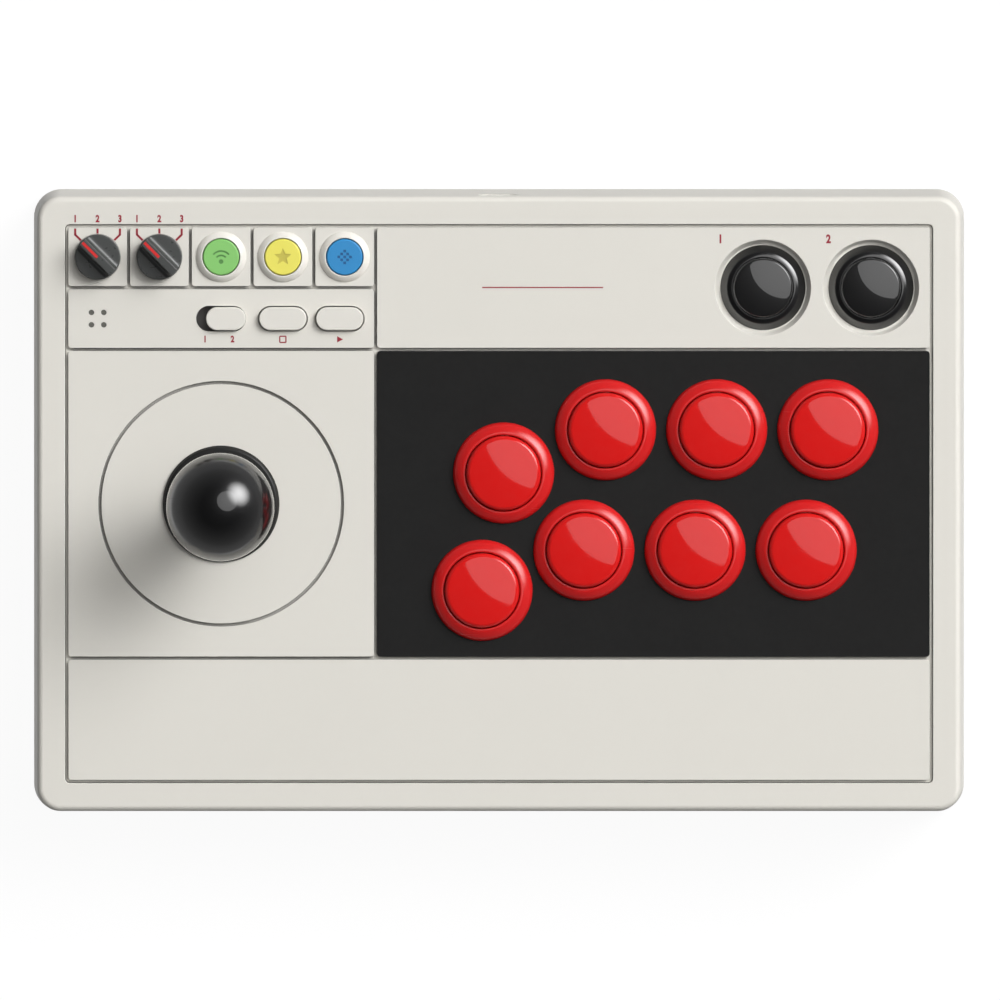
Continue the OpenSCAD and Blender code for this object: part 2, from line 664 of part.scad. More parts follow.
knob_base_h = 4;
ridge_w = 2.8;
ridge_foot_w = 6.4;
ridge_neck_w = 3.6;
ridge_neck_z = knob_base_h + 1.3;
module knob() {
    gap = 0.3;
    difference() {
        union() {
            turned([[0, gap], [knob_d / 2, gap], [knob_d / 2 - 0.2, knob_base_h - 0.4],
                [knob_d / 2 - 0.6, knob_base_h], [0, knob_base_h]]);
            intersection() {
                rotate([90, 0, 90]) translate([0, 0, -knob_d / 2]) linear_extrude(knob_d)
                    polygon([[-ridge_foot_w / 2, knob_base_h - 0.3], [ridge_foot_w / 2, knob_base_h - 0.3],
                        [ridge_neck_w / 2, ridge_neck_z], [ridge_w / 2, knob_h], [-ridge_w / 2, knob_h],
                        [-ridge_neck_w / 2, ridge_neck_z]]);
                cylinder(h = knob_h + 1, d = knob_d - 0.8);
            }
        }
        translate([0, 0, -1]) cylinder(h = knob_bore_h + 1, d = knob_shaft_d + 2 * run);
        translate([0, 0, -1]) cylinder(h = 2.3, d = knob_shaft_d + 2);
    }
}
module knob_at(i) color([0.22, 0.22, 0.22])
    translate([key_x(i), key_y, top_h]) rotate(135) knob();

module rotary_switches() color("silver") for (i = [0, 1]) translate([key_x(i), key_y, board_z + board_t]) {
    slab(0, key_stack - board_t - 0.4) rounded_rect(12, 12, 1);
    cylinder(h = deck_t + plate_t + key_stack - board_t, d = knob_shaft_d + 0.6);
    cylinder(h = key_stack - board_t + deck_t + plate_t + knob_bore_h - fit, d = knob_shaft_d);
}

// ---------- keys, slide switch and indicator lens ----------

// The domed ring that stands round a coloured key
module key_ring() {
    inner = key_d / 2 + key_gap;
    outer = key_ring_d / 2;
    turned(concat([[inner, 0], [outer, 0]], arc(outer - 1.7, 0.1, 1.6, 5, 90, 6), [[inner, 1.7]]));
}
module key_rings() color("whitesmoke") for (i = [2:4]) translate([key_x(i), key_y, top_h]) key_ring();

stem_foot = board_z + board_t + tact_h + stem_gap;
key_flange_z = deck_z - fit - flange_t;
key_h = top_h + key_top - key_flange_z;
module key_foot(w, d) {
    slab(key_flange_z, flange_t) pill(w, d);
    translate([0, 0, stem_foot]) cylinder(h = deck_z - fit - stem_foot - 0.5, d = 3);
}

module round_key(i) translate([key_x(i), key_y, 0]) {
    translate([0, 0, key_flange_z]) {
        cylinder(h = key_h, d = key_d);
        cylinder(h = flange_t, d = key_d + 2.4);
    }
    translate([0, 0, stem_foot]) cylinder(h = deck_z - fit - stem_foot, d = 3);
}

module pill_key(x) color("whitesmoke") translate([x, pill_y, 0]) {
    slab(key_flange_z, key_h) pill(pill_w - 2 * key_gap, pill_d - 2 * key_gap);
    key_foot(pill_w + 1.6, pill_d + 1.6);
}

slider_rest = (pill_w - slider_w) / 2 - slider_end_gap;
module slider_cap() color("whitesmoke") translate([slider_x + slider_rest, pill_y, 0]) {
    slab(key_flange_z, key_h) pill(slider_w, pill_d - 2 * key_gap);
    translate([0.8 - slider_rest, 0, 0]) slab(key_flange_z, flange_t)
        square([pill_w + 2, pill_d + 2], center = true);
    translate([-0.8, -1.2, key_flange_z - 1.4]) cube([1.6, 2.4, 2]);
}

slide_switch_h = key_flange_z - 0.3 - board_z - board_t;
module slide_switch() color("silver") translate([slider_x, pill_y, board_z + board_t]) difference() {
    slab(0, slide_switch_h) square([12, 6], center = true);
    translate([-5.2, -1.6, slide_switch_h - 1.6]) cube([10.4, 3.2, 3]);
}

tact_at = [[key_x(2), key_y], [key_x(3), key_y], [key_x(4), key_y], [select_x, pill_y], [start_x, pill_y]];
module tact_switches() color("black") for (p = tact_at) translate([p[0], p[1], board_z + board_t]) {
    slab(0, tact_h - 0.6) square([6, 6], center = true);
    cylinder(h = tact_h, d = 3.4);
}

module indicator_lens() color([0.4, 0.4, 0.36]) translate([key_x(0), pill_y, 0]) {
    for (x = [-1, 1], y = [-1, 1]) translate([x * led_pitch / 2, y * led_pitch / 2, deck_z - 1])
        cylinder(h = deck_t + plate_t + 0.9, d = pin_d);
    slab(deck_z - 2.4, 2.4) rounded_rect(led_pitch + 4, led_pitch + 4, 1);
}

// ---------- boards, socket, battery ----------

module board_blank(at, box, z) difference() {
    translate([at[0], at[1], 0]) slab(z, board_t) rounded_rect(box[0], box[1], 1);
    for (p = board_holes) if (p[2] == z)
        translate([p[0], p[1], z - 1]) cylinder(h = board_t + 2, d = screw_d + 0.3);
}

lead_size = [8, 6, 5];
control_lead_at = control_board_at + [control_board_box[0] / 2 - 9, 4 - control_board_box[1] / 2];
main_leads_at = [[-28, -8], [-12, -8], [8, -8], [26, -8]];

module lead_socket(x, y, z) {
    translate([x - lead_size[0] / 2, y - lead_size[1] / 2, z - lead_size[2]])
        cube(lead_size + [0, 0, eps]);
}

module control_board() color("seagreen") {
    board_blank(control_board_at, control_board_box, board_z);
    lead_socket(control_lead_at[0], control_lead_at[1], board_z);
    translate([key_x(0), pill_y, board_z + board_t - eps])
        for (x = [-1, 1], y = [-1, 1]) translate([x * led_pitch / 2 - 0.8, y * led_pitch / 2 - 0.8])
            cube([1.6, 1.6, 0.8]);
}

module main_board() color("seagreen") {
    board_blank(main_at, [main_w, main_d], main_z);
    for (p = main_leads_at) lead_socket(main_at[0] + p[0], main_at[1] + p[1], main_z);
    translate([main_at[0] - 6, main_at[1] + 2, main_z - 1.2]) cube([10, 10, 1.2 + eps]);
}

module usb_socket() color("silver")
    translate([main_at[0], rear_y - 0.8, socket_z]) rotate([90, 0, 0]) difference() {
    linear_extrude(socket[1]) pill(socket[0], socket[2]);
    translate([0, 0, -1]) linear_extrude(socket[1] - 0.5) difference() {
        pill(socket[0] - 0.6, socket[2] - 0.6);
        square([6.6, 0.7], center = true);
    }
}

module board_screws() color("silver")
    for (p = board_holes) translate([p[0], p[1], p[2]]) screw(5);

battery = [50, 34, 8];
battery_at = [housing_w / 2 - 75, -housing_d / 2 + 42];
tray_t = 1.2;
tray_h = 7;
module battery_place(z) translate([battery_at[0], battery_at[1], z]) children();
module battery_tray() color([0.2, 0.2, 0.2]) battery_place(base_top) difference() {
    slab(0, tray_h) rounded_rect(battery[0] + 2 * (tray_t + fit), battery[1] + 2 * (tray_t + fit), 2);
    slab(tray_t, tray_h) rounded_rect(battery[0] + 2 * fit, battery[1] + 2 * fit, 1);
    translate([-battery[0] / 2 - 5, -4, tray_t]) cube([10, 8, tray_h]);
}
module battery_pack() color("steelblue") battery_place(base_top + tray_t)
    slab(0, battery[2]) rounded_rect(battery[0], battery[1], 1);

// ---------- cables held inside ----------

// A cable leaves its first socket and enters its last one square, with a smooth run between
module cable(run_points, r) sweep(
    concat([run_points[0]], smooth([for (i = [1:len(run_points) - 2]) run_points[i]], 5),
        [run_points[len(run_points) - 1]]), r);

function main_lead(i) = concat(main_at + main_leads_at[i], main_z - lead_size[2]);
control_lead = concat(control_lead_at, board_z - lead_size[2]);
lever_lead = [lever[0] + connector_at[0] + 3.5, lever[1], switch_pcb_z + board_t + 3];
battery_terminal = [battery_at[0] - battery[0] / 2, battery_at[1], base_top + tray_t + 3];

// Routes, chosen by hand
lever_route = [lever_lead, lever_lead + [4, 0, 0], [-46, 14, 14], [-34, 40, 11], [-20, 60, 13],
    main_lead(1) - [0, 0, 8], main_lead(1)];
control_route = [control_lead, control_lead - [0, 0, 4], [-42, 55, 26], [-33, 62, 24],
    main_lead(0) - [0, 0, 4], main_lead(0)];
battery_route = [battery_terminal, battery_terminal - [6, 0, 0], [26, -50, 5.6], [16, -20, 5.6],
    [12, 20, 5.6], [10, 50, 8], main_lead(2) - [0, 0, 8], main_lead(2)];

module lever_cable() color("dimgray") cable(lever_route, 1.6);
module control_cable() color("dimgray") cable(control_route, 1.6);
module battery_lead() color("firebrick") cable(battery_route, 1.2);

// Wires that run from switch to switch and on to the main board, each sagging a little
wire_size = 0.9;
wire_stub = 1.5;
function terminal(p, face_z, side) = [p[0] + side * blade_at, p[1], face_z + blade_foot];
function wire(a, b, sag, n = 5) = concat([a],
    [for (i = [0:n]) let (t = i / n) a + (b - a) * t - [0, 0, wire_stub + sag * 4 * t * (1 - t)]], [b]);
// The chain runs right along the front row and back left along the rear row
chain = concat([for (i = [4:7]) [i, 1]], [for (i = [3:-1:0]) [i, -1]]);
module switch_loom() color("black") {
    for (i = [0:len(chain) - 2])
        sweep(wire(terminal(action_at[chain[i][0]], top_h, chain[i][1]),
            terminal(action_at[chain[i + 1][0]], top_h, -chain[i + 1][1]), 3), wire_size);
    sweep(wire(terminal(action_at[0], top_h, -1), main_lead(3) - [2, 0, 0], 4), wire_size);
    sweep(wire(terminal(macro_at[1], top_h - dish_h, -1), terminal(macro_at[0], top_h - dish_h, 1), 3),
        wire_size);
    sweep(wire(terminal(macro_at[0], top_h - dish_h, -1), main_lead(3) + [2, 0, 0], 4), wire_size);
}

// ---------- the nodes ----------

top_housing();
face_plate();
button_overlay();
base_plate();
rubber_feet();
base_screws();
key_rings();
indicator_lens();
control_board();
rotary_switches();
tact_switches();
slide_switch();
main_board();
usb_socket();
board_screws();
battery_pack();
battery_tray();
lever_mounting_plate();
lever_screws();
lever_housing();
centring_spring();
lever_switch_board();
lever_microswitches();
lever_connector();
gate_plate();
action_button_bodies();
macro_button_bodies();
action_microswitches();
macro_microswitches();
lever_cable();
control_cable();
battery_lead();
switch_loom();
for (i = [1:8]) action_plunger(i - 1);
for (i = [1:2]) macro_plunger(i - 1);
ball_top();
lever_shaft();
shaft_cover();
pivot_ball();
actuator();
retaining_ring();
spring_seat();
washer_slide();
dust_washer();
knob_at(0);  // mode_knob
knob_at(1);  // output_knob
color("limegreen") round_key(2);  // green_key
color("khaki") round_key(3);  // yellow_key
color("steelblue") round_key(4);  // blue_key
pill_key(select_x);  // select_key
pill_key(start_x);  // start_key
slider_cap();
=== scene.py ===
# %% [markdown]
# # A desktop arcade joystick panel
#
# The panel is a light moulded case with a steel face plate on top. The plate carries a ball-top
# lever, eight large and two small push buttons, two rotary selectors, three coloured keys, two
# pill-shaped keys and a slide switch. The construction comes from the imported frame, in metres,
# with +Z up. This lesson gives that frame its finishes, and models again the pieces whose
# roundings catch the light.

# %% Load the frame
import math

import bmesh
import bpy
from mathutils import Matrix, Vector


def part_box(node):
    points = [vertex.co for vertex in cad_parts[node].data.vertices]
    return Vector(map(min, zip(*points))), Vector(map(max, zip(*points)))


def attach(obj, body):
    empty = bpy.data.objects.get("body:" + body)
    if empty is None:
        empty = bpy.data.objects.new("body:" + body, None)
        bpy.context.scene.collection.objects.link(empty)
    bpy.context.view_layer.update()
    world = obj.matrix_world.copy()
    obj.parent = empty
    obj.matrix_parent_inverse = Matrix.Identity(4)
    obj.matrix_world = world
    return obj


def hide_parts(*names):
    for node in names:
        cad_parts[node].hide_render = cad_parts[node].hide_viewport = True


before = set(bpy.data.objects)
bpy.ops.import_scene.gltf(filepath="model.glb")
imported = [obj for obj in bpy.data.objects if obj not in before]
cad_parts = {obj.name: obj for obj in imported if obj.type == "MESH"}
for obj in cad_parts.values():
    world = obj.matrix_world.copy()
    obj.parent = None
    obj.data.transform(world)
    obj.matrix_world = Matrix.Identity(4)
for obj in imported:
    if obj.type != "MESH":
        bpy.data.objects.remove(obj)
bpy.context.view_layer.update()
MM = 0.001
face_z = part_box("top_housing")[1].z / MM
print(len(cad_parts), "nodes; the face lies", round(face_z, 2), "mm above the table")

# %% [markdown]
# ## Patterns that several finishes share
#
# Nothing on a real product is one flat colour. Moulded plastic has a fine grain, and paint
# drifts a little in tone. Corners turn lighter, partly polished by hands and partly as painted
# highlight.
# Dust settles on what faces up, and grooves are darkened with painted shade. Each of these
# effects is a node group, so that a material only chooses how much of it there is. The groups
# read Object coordinates, which are metres here: a scale of 4000 is a grain of a quarter of a
# millimetre.


# %% A helper that opens a node group
def open_group(name, inputs, outputs):
    """A new group with float inputs (name, value), a colour where the value is a tuple."""
    group = bpy.data.node_groups.new(name, "ShaderNodeTree")
    for label, value in inputs:
        kind = "NodeSocketColor" if isinstance(value, tuple) else "NodeSocketFloat"
        socket = group.interface.new_socket(label, in_out="INPUT", socket_type=kind)
        socket.default_value = value
    for label, kind in outputs:
        group.interface.new_socket(label, in_out="OUTPUT", socket_type=kind)
    return group, group.nodes.new("NodeGroupInput"), group.nodes.new("NodeGroupOutput")


def node(tree, kind, **settings):
    """A new node with its settings; a setting whose name is an input's sets that input."""
    made = tree.nodes.new(kind)
    for name, value in settings.items():
        label = name.replace("_", " ").title()
        if label in made.inputs:
            made.inputs[label].default_value = value
        else:
            setattr(made, name, value)
    return made


def math_node(tree, operation, first, second):
    """A Math node that takes sockets or plain numbers."""
    made = node(tree, "ShaderNodeMath", operation=operation)
    for socket, value in zip(made.inputs, (first, second)):
        if isinstance(value, bpy.types.NodeSocket):
            tree.links.new(value, socket)
        else:
            socket.default_value = value
    return made.outputs[0]


# %% [markdown]
# ### Grain
#
# A mould is spark-eroded or blasted, and leaves tiny rounded bumps. Two noises of different
# size added together look less regular than one. The height goes to a Bump node, and the same
# pattern makes the gloss a little uneven.


# %% Grain group
grain, into, out = open_group(
    "mould_grain",
    [("Scale", 3000.0)],
    [("Height", "NodeSocketFloat"), ("Mottle", "NodeSocketFloat")],
)
place = node(grain, "ShaderNodeTexCoord")
fine = node(grain, "ShaderNodeTexNoise", detail=2.0, roughness=0.6)
broad = node(grain, "ShaderNodeTexNoise", detail=1.0, roughness=0.5)
broad_scale = math_node(grain, "MULTIPLY", into.outputs["Scale"], 0.23)
grain.links.new(place.outputs["Object"], fine.inputs["Vector"])
grain.links.new(place.outputs["Object"], broad.inputs["Vector"])
grain.links.new(into.outputs["Scale"], fine.inputs["Scale"])
grain.links.new(broad_scale, broad.inputs["Scale"])
softened = math_node(grain, "MULTIPLY", broad.outputs[0], 0.6)
both = math_node(grain, "ADD", fine.outputs[0], softened)
grain.links.new(both, out.inputs["Height"])
grain.links.new(broad.outputs[0], out.inputs["Mottle"])

# %% [markdown]
# ### Tone
#
# Two pieces from one batch, or two ends of one plate, differ by a percent or two. A slow noise
# turns the colour slightly darker in some places.


# %% Tone group
tone, into, out = open_group(
    "tone_drift",
    [("Color", (0.5, 0.5, 0.5, 1.0)), ("Scale", 40.0), ("Amount", 0.05)],
    [("Color", "NodeSocketColor")],
)
place = node(tone, "ShaderNodeTexCoord")
drift = node(tone, "ShaderNodeTexNoise", detail=4.0, roughness=0.65)
tone.links.new(place.outputs["Object"], drift.inputs["Vector"])
tone.links.new(into.outputs["Scale"], drift.inputs["Scale"])
dimmer = math_node(tone, "MULTIPLY", drift.outputs[0], into.outputs["Amount"])
level = math_node(tone, "SUBTRACT", 1.0, dimmer)
shade = node(tone, "ShaderNodeVectorMath", operation="SCALE")
tone.links.new(into.outputs["Color"], shade.inputs[0])
tone.links.new(level, shade.inputs["Scale"])
tone.links.new(shade.outputs[0], out.inputs["Color"])

# %% [markdown]
# ### Edges: polish and painted highlight
#
# Hands and cloths polish the corners first, and the same lighter edge is also a painted
# highlight, a bright line along each edge. The Bevel node rounds the normal near an edge, so
# where it differs from the true normal there is an edge, and a noise breaks the line up.


# %% Edge polish and painted highlight group
# The lighter edge colour is partly polish from handling and partly painted highlight.
wear_and_highlight, into, out = open_group(
    "edge_wear_and_highlight", [("Radius", 0.0004), ("Amount", 0.5)], [("Mask", "NodeSocketFloat")]
)
place = node(wear_and_highlight, "ShaderNodeTexCoord")
rounded = node(wear_and_highlight, "ShaderNodeBevel", samples=4)
plain = node(wear_and_highlight, "ShaderNodeNewGeometry")
match = node(wear_and_highlight, "ShaderNodeVectorMath", operation="DOT_PRODUCT")
wear_and_highlight.links.new(into.outputs["Radius"], rounded.inputs["Radius"])
wear_and_highlight.links.new(rounded.outputs[0], match.inputs[0])
wear_and_highlight.links.new(plain.outputs["Normal"], match.inputs[1])
edge = node(wear_and_highlight, "ShaderNodeMapRange", from_min=0.0, from_max=0.12)
wear_and_highlight.links.new(math_node(wear_and_highlight, "SUBTRACT", 1.0, match.outputs["Value"]), edge.inputs["Value"])
breaks = node(wear_and_highlight, "ShaderNodeTexNoise", scale=350.0, detail=3.0)
wear_and_highlight.links.new(place.outputs["Object"], breaks.inputs["Vector"])
broken = math_node(wear_and_highlight, "MULTIPLY", edge.outputs[0], breaks.outputs[0])
wear_and_highlight.links.new(math_node(wear_and_highlight, "MULTIPLY", broken, into.outputs["Amount"]), out.inputs["Mask"])

# %% [markdown]
# ### Painted shade in grooves
#
# The grooves are darkened in the colour. This is painted shade, standing for the shadow that
# falls into a narrow groove. The Ambient Occlusion node tells how closed in a point is, within
# a millimetre or two. One group counts every piece near the point, for the gap between case and
# plate. The other counts only the piece itself, so that the plate stays unshaded beside a
# button's rim.


# %% Painted groove shade groups
def crevice_group(name, own_only):
    """A painted-shade mask that is 1 deep in a groove; own_only counts no neighbour of the
    piece.
    """
    group, into, out = open_group(name, [("Distance", 0.0016)], [("Mask", "NodeSocketFloat")])
    closed_in = node(group, "ShaderNodeAmbientOcclusion", samples=8, only_local=own_only)
    deep = node(group, "ShaderNodeMapRange", from_min=0.6, from_max=0.3)
    group.links.new(into.outputs["Distance"], closed_in.inputs["Distance"])
    group.links.new(closed_in.outputs["AO"], deep.inputs["Value"])
    group.links.new(deep.outputs[0], out.inputs["Mask"])
    return group


groove_shade = crevice_group("crevice_grime", False)
own_groove_shade = crevice_group("own_painted_groove_shade", True)

# %% [markdown]
# ### Dust and hairlines
#
# Dust lies on what faces up, in loose patches. Hairlines are what wiping leaves on a gloss
# surface: a noise stretched along one direction, with only its peaks kept.


# %% Dust group
dust, into, out = open_group(
    "settled_dust", [("Scale", 90.0), ("Amount", 0.1)], [("Mask", "NodeSocketFloat")]
)
place = node(dust, "ShaderNodeTexCoord")
plain = node(dust, "ShaderNodeNewGeometry")
upward = node(dust, "ShaderNodeSeparateXYZ")
patches = node(dust, "ShaderNodeTexNoise", detail=6.0, roughness=0.7)
dust.links.new(plain.outputs["Normal"], upward.inputs[0])
dust.links.new(place.outputs["Object"], patches.inputs["Vector"])
dust.links.new(into.outputs["Scale"], patches.inputs["Scale"])
lying = node(dust, "ShaderNodeMapRange", from_min=0.3, from_max=1.0)
dust.links.new(upward.outputs["Z"], lying.inputs["Value"])
film = math_node(dust, "MULTIPLY", lying.outputs[0], patches.outputs[0])
dust.links.new(math_node(dust, "MULTIPLY", film, into.outputs["Amount"]), out.inputs["Mask"])

# %% Hairline group
hairlines, into, out = open_group("hairlines", [("Amount", 0.1)], [("Mask", "NodeSocketFloat")])
place = node(hairlines, "ShaderNodeTexCoord")
lines = []
for turn in (0.4, 1.9):
    stretch = node(hairlines, "ShaderNodeMapping")
    stretch.inputs["Rotation"].default_value = (0.0, 0.0, turn)
    stretch.inputs["Scale"].default_value = (60.0, 2600.0, 60.0)
    streak = node(hairlines, "ShaderNodeTexNoise", scale=1.0, detail=2.0)
    peak = node(hairlines, "ShaderNodeMapRange", from_min=0.62, from_max=0.75)
    hairlines.links.new(place.outputs["Object"], stretch.inputs["Vector"])
    hairlines.links.new(stretch.outputs[0], streak.inputs["Vector"])
    hairlines.links.new(streak.outputs[0], peak.inputs["Value"])
    lines.append(peak.outputs[0])
crossed = math_node(hairlines, "MAXIMUM", lines[0], lines[1])
hairlines.links.new(
    math_node(hairlines, "MULTIPLY", crossed, into.outputs["Amount"]), out.inputs["Mask"]
)
print("node groups:", [group.name for group in bpy.data.node_groups])

# %% [markdown]
# ## Finishes
#
# Every finish starts the same way: the drifting tone gives the base colour, and the grain gives
# the bump and an uneven gloss. What a finish needs on top, such as lighter edges (polish and
# painted highlight) or a clear coat, is added by the function that makes it. Values that are the
# same all over stay on the shader's own sockets.


# %% What every finish starts from
finishes = {}


def colour(red, green, blue):
    """A display colour, 0 to 255, as the linear colour that a shader takes."""
    parts = []
    for value in (red, green, blue):
        share = value / 255
        parts.append(share / 12.92 if share <= 0.04045 else ((share + 0.055) / 1.055) ** 2.4)
    return (*parts, 1.0)


def add_group(tree, group, **values):
    """A shared group placed in a material, with its own values."""
    made = tree.nodes.new("ShaderNodeGroup")
    made.node_tree = group
    for name, value in values.items():
        made.inputs[name].default_value = value
    return made


def base_finish(
    name, base, roughness, spread, grain_scale, grain_height, drift=0.05, drift_scale=40.0
):
    """A material with drifting tone, uneven gloss and grain; returns the nodes to build on."""
    material = bpy.data.materials.new(name)
    material.use_nodes = True
    tree = material.node_tree
    shader = tree.nodes["Principled BSDF"]
    toned = add_group(tree, tone, Color=base, Scale=drift_scale, Amount=drift)
    grained = add_group(tree, grain, Scale=grain_scale)
    low, high = roughness - spread, roughness + spread
    gloss = node(tree, "ShaderNodeMapRange", to_min=low, to_max=high)
    bump = node(tree, "ShaderNodeBump", strength=1.0, distance=grain_height * MM)
    tree.links.new(toned.outputs["Color"], shader.inputs["Base Color"])
    tree.links.new(grained.outputs["Mottle"], gloss.inputs["Value"])
    tree.links.new(gloss.outputs[0], shader.inputs["Roughness"])
    tree.links.new(grained.outputs["Height"], bump.inputs["Height"])
    tree.links.new(bump.outputs[0], shader.inputs["Normal"])
    finishes[name] = material
    return tree, shader, toned.outputs["Color"], gloss.outputs[0]


def lay_over(tree, under, over, mask):
    """Mixes a second colour over the first where the mask is bright."""
    mix = tree.nodes.new("ShaderNodeMix")
    mix.data_type = "RGBA"
    tree.links.new(mask, mix.inputs["Factor"])
    tree.links.new(under, mix.inputs[6])
    mix.inputs[7].default_value = over
    return mix.outputs[2]


# %% [markdown]
# ### Painted and satin-moulded surfaces
#
# The case is moulded in a warm light grey with a fine satin grain. The steel plate is powder
# coated in the same tone, so it takes the same function with a finer, harder grain. Edges turn a
# shade lighter, partly from handling and partly as painted highlight. A trace of dust dulls what
# faces up, and grooves are darkened with painted shade.


# %% Case and plate finishes
grey_dust = colour(196, 192, 184)
# Painted shade: the colour that grooves are darkened to, standing for their shadow.
painted_groove_shade_colour = colour(58, 56, 53)


def satin(
    name, base, roughness, grain_scale, grain_height, worn_and_lit, wear_and_highlight_amount, dust_amount,
    specular=0.5,
):
    """Grained paint or plastic; edges polished and painted light, dust, painted shade in
    grooves.
    """
    tree, shader, tinted, gloss = base_finish(
        name, base, roughness, 0.06, grain_scale, grain_height, drift=0.03, drift_scale=25.0
    )
    # Lighter edges: polish and painted highlight.
    rubbed_and_lit = add_group(tree, wear_and_highlight, Amount=wear_and_highlight_amount)
    dusty = add_group(tree, dust, Amount=dust_amount)
    worn_and_lit_colour = lay_over(tree, tinted, worn_and_lit, rubbed_and_lit.outputs["Mask"])
    coloured = lay_over(tree, worn_and_lit_colour, grey_dust, dusty.outputs["Mask"])
    # Painted shade: grooves darken by how closed in they are.
    groove_shade_node = add_group(tree, groove_shade if name == "housing_plastic" else own_groove_shade)
    groove_shaded = lay_over(tree, coloured, painted_groove_shade_colour, groove_shade_node.outputs["Mask"])
    tree.links.new(groove_shaded, shader.inputs["Base Color"])
    smoother = math_node(tree, "MULTIPLY", rubbed_and_lit.outputs["Mask"], -0.15)
    rougher = math_node(tree, "ADD", smoother, dusty.outputs["Mask"])
    tree.links.new(math_node(tree, "ADD", gloss, rougher), shader.inputs["Roughness"])
    shader.inputs["Specular IOR Level"].default_value = specular


case_light = colour(222, 219, 211)
satin("housing_plastic", case_light, 0.5, 2600.0, 0.012, colour(238, 236, 230), 0.3, 0.04)
satin("face_paint", case_light, 0.46, 3600.0, 0.008, colour(236, 234, 228), 0.25, 0.04)
satin("base_steel", colour(58, 58, 60), 0.45, 3000.0, 0.02, colour(140, 140, 142), 0.8, 0.1)
satin("key_white", colour(224, 221, 213), 0.32, 3400.0, 0.005, colour(240, 238, 232), 0.4, 0.03)
satin(
    "overlay_black", colour(13, 13, 13), 0.6, 2400.0, 0.015, colour(50, 50, 50), 0.3, 0.008,
    specular=0.25,
)
print("satin finishes:", sorted(finishes))

# %% [markdown]
# ### Gloss mouldings
#
# Push buttons and the ball top are polished. A smooth surface shows its lamps as clear shapes,
# so the grain is almost nothing; hairlines and a faint dust keep it from looking like glass.
# The ball and the black buttons also carry a clear coat: the sharp reflection comes from the
# coat, and the soft glow around it from the rougher plastic below. Both coats are denser than
# plain lacquer, the black buttons' most of all, so they reflect more.


# %% Button, ball and key finishes
pale_dust = colour(190, 186, 180)


def gloss(name, base, roughness, coat=0.0, coat_ior=1.5, specular=0.5, dust_amount=0.02):
    """A polished moulding with hairlines, a faint dust and, if coat is 1, a clear coat."""
    tree, shader, tinted, shine = base_finish(
        name, base, roughness, 0.01, 1500.0, 0.0004, drift=0.06, drift_scale=60.0
    )
    wiped = add_group(tree, hairlines, Amount=0.1)
    dusty = add_group(tree, dust, Scale=260.0, Amount=dust_amount)
    coloured = lay_over(tree, tinted, pale_dust, dusty.outputs["Mask"])
    tree.links.new(coloured, shader.inputs["Base Color"])
    streaked = math_node(tree, "ADD", shine, wiped.outputs["Mask"])
    tree.links.new(streaked, shader.inputs["Roughness"])
    shader.inputs["Specular IOR Level"].default_value = specular
    shader.inputs["Coat Weight"].default_value = coat
    shader.inputs["Coat Roughness"].default_value = 0.02
    shader.inputs["Coat IOR"].default_value = coat_ior


gloss("red_plunger", colour(216, 23, 22), 0.04)
gloss("red_body", colour(208, 27, 28), 0.18)
gloss(
    "black_gloss", colour(20, 20, 21), 0.3,
    coat=1.0, coat_ior=1.65, specular=0.3, dust_amount=0.004,
)
gloss(
    "ball_black", colour(17, 17, 18), 0.32,
    coat=1.0, coat_ior=1.6, specular=0.25, dust_amount=0.003,
)
gloss("ring_white", colour(232, 229, 221), 0.22)
gloss("green_key", colour(135, 202, 110), 0.35)
gloss("yellow_key", colour(237, 228, 97), 0.35)
gloss("blue_key", colour(38, 138, 200), 0.35)
gloss("lens_smoke", colour(96, 95, 88), 0.25)
# Darker key tones: painted shade for the pressed-in symbols' recesses.
gloss("green_mark", colour(92, 150, 78), 0.4)
gloss("yellow_mark", colour(200, 188, 78), 0.4)
gloss("blue_mark", colour(26, 96, 152), 0.4)
gloss("battery_wrap", colour(60, 104, 178), 0.3)
print("gloss finishes made;", len(finishes), "so far")

# %% [markdown]
# ### Matt plastics and rubber
#
# Knobs, the dust washer, the feet, the switch bodies and the ink of the marks are dull and
# soft-looking. Rubber has the coarsest grain. The edges of the knobs are lighter, partly
# polished by handling and partly as painted highlight.


# %% Matt finishes
def matt(name, base, roughness, grain_scale, grain_height, worn_and_lit, wear_and_highlight_amount, specular=0.5):
    """A dull moulding whose edges turn to a lighter colour: polish and painted highlight."""
    tree, shader, tinted, _ = base_finish(
        name, base, roughness, 0.08, grain_scale, grain_height
    )
    # Lighter edges: polish and painted highlight.
    rubbed_and_lit = add_group(tree, wear_and_highlight, Radius=0.0003, Amount=wear_and_highlight_amount)
    coloured = lay_over(tree, tinted, worn_and_lit, rubbed_and_lit.outputs["Mask"])
    tree.links.new(coloured, shader.inputs["Base Color"])
    shader.inputs["Specular IOR Level"].default_value = specular


matt("knob_grey", colour(64, 66, 65), 0.3, 2800.0, 0.006, colour(124, 125, 124), 0.5)
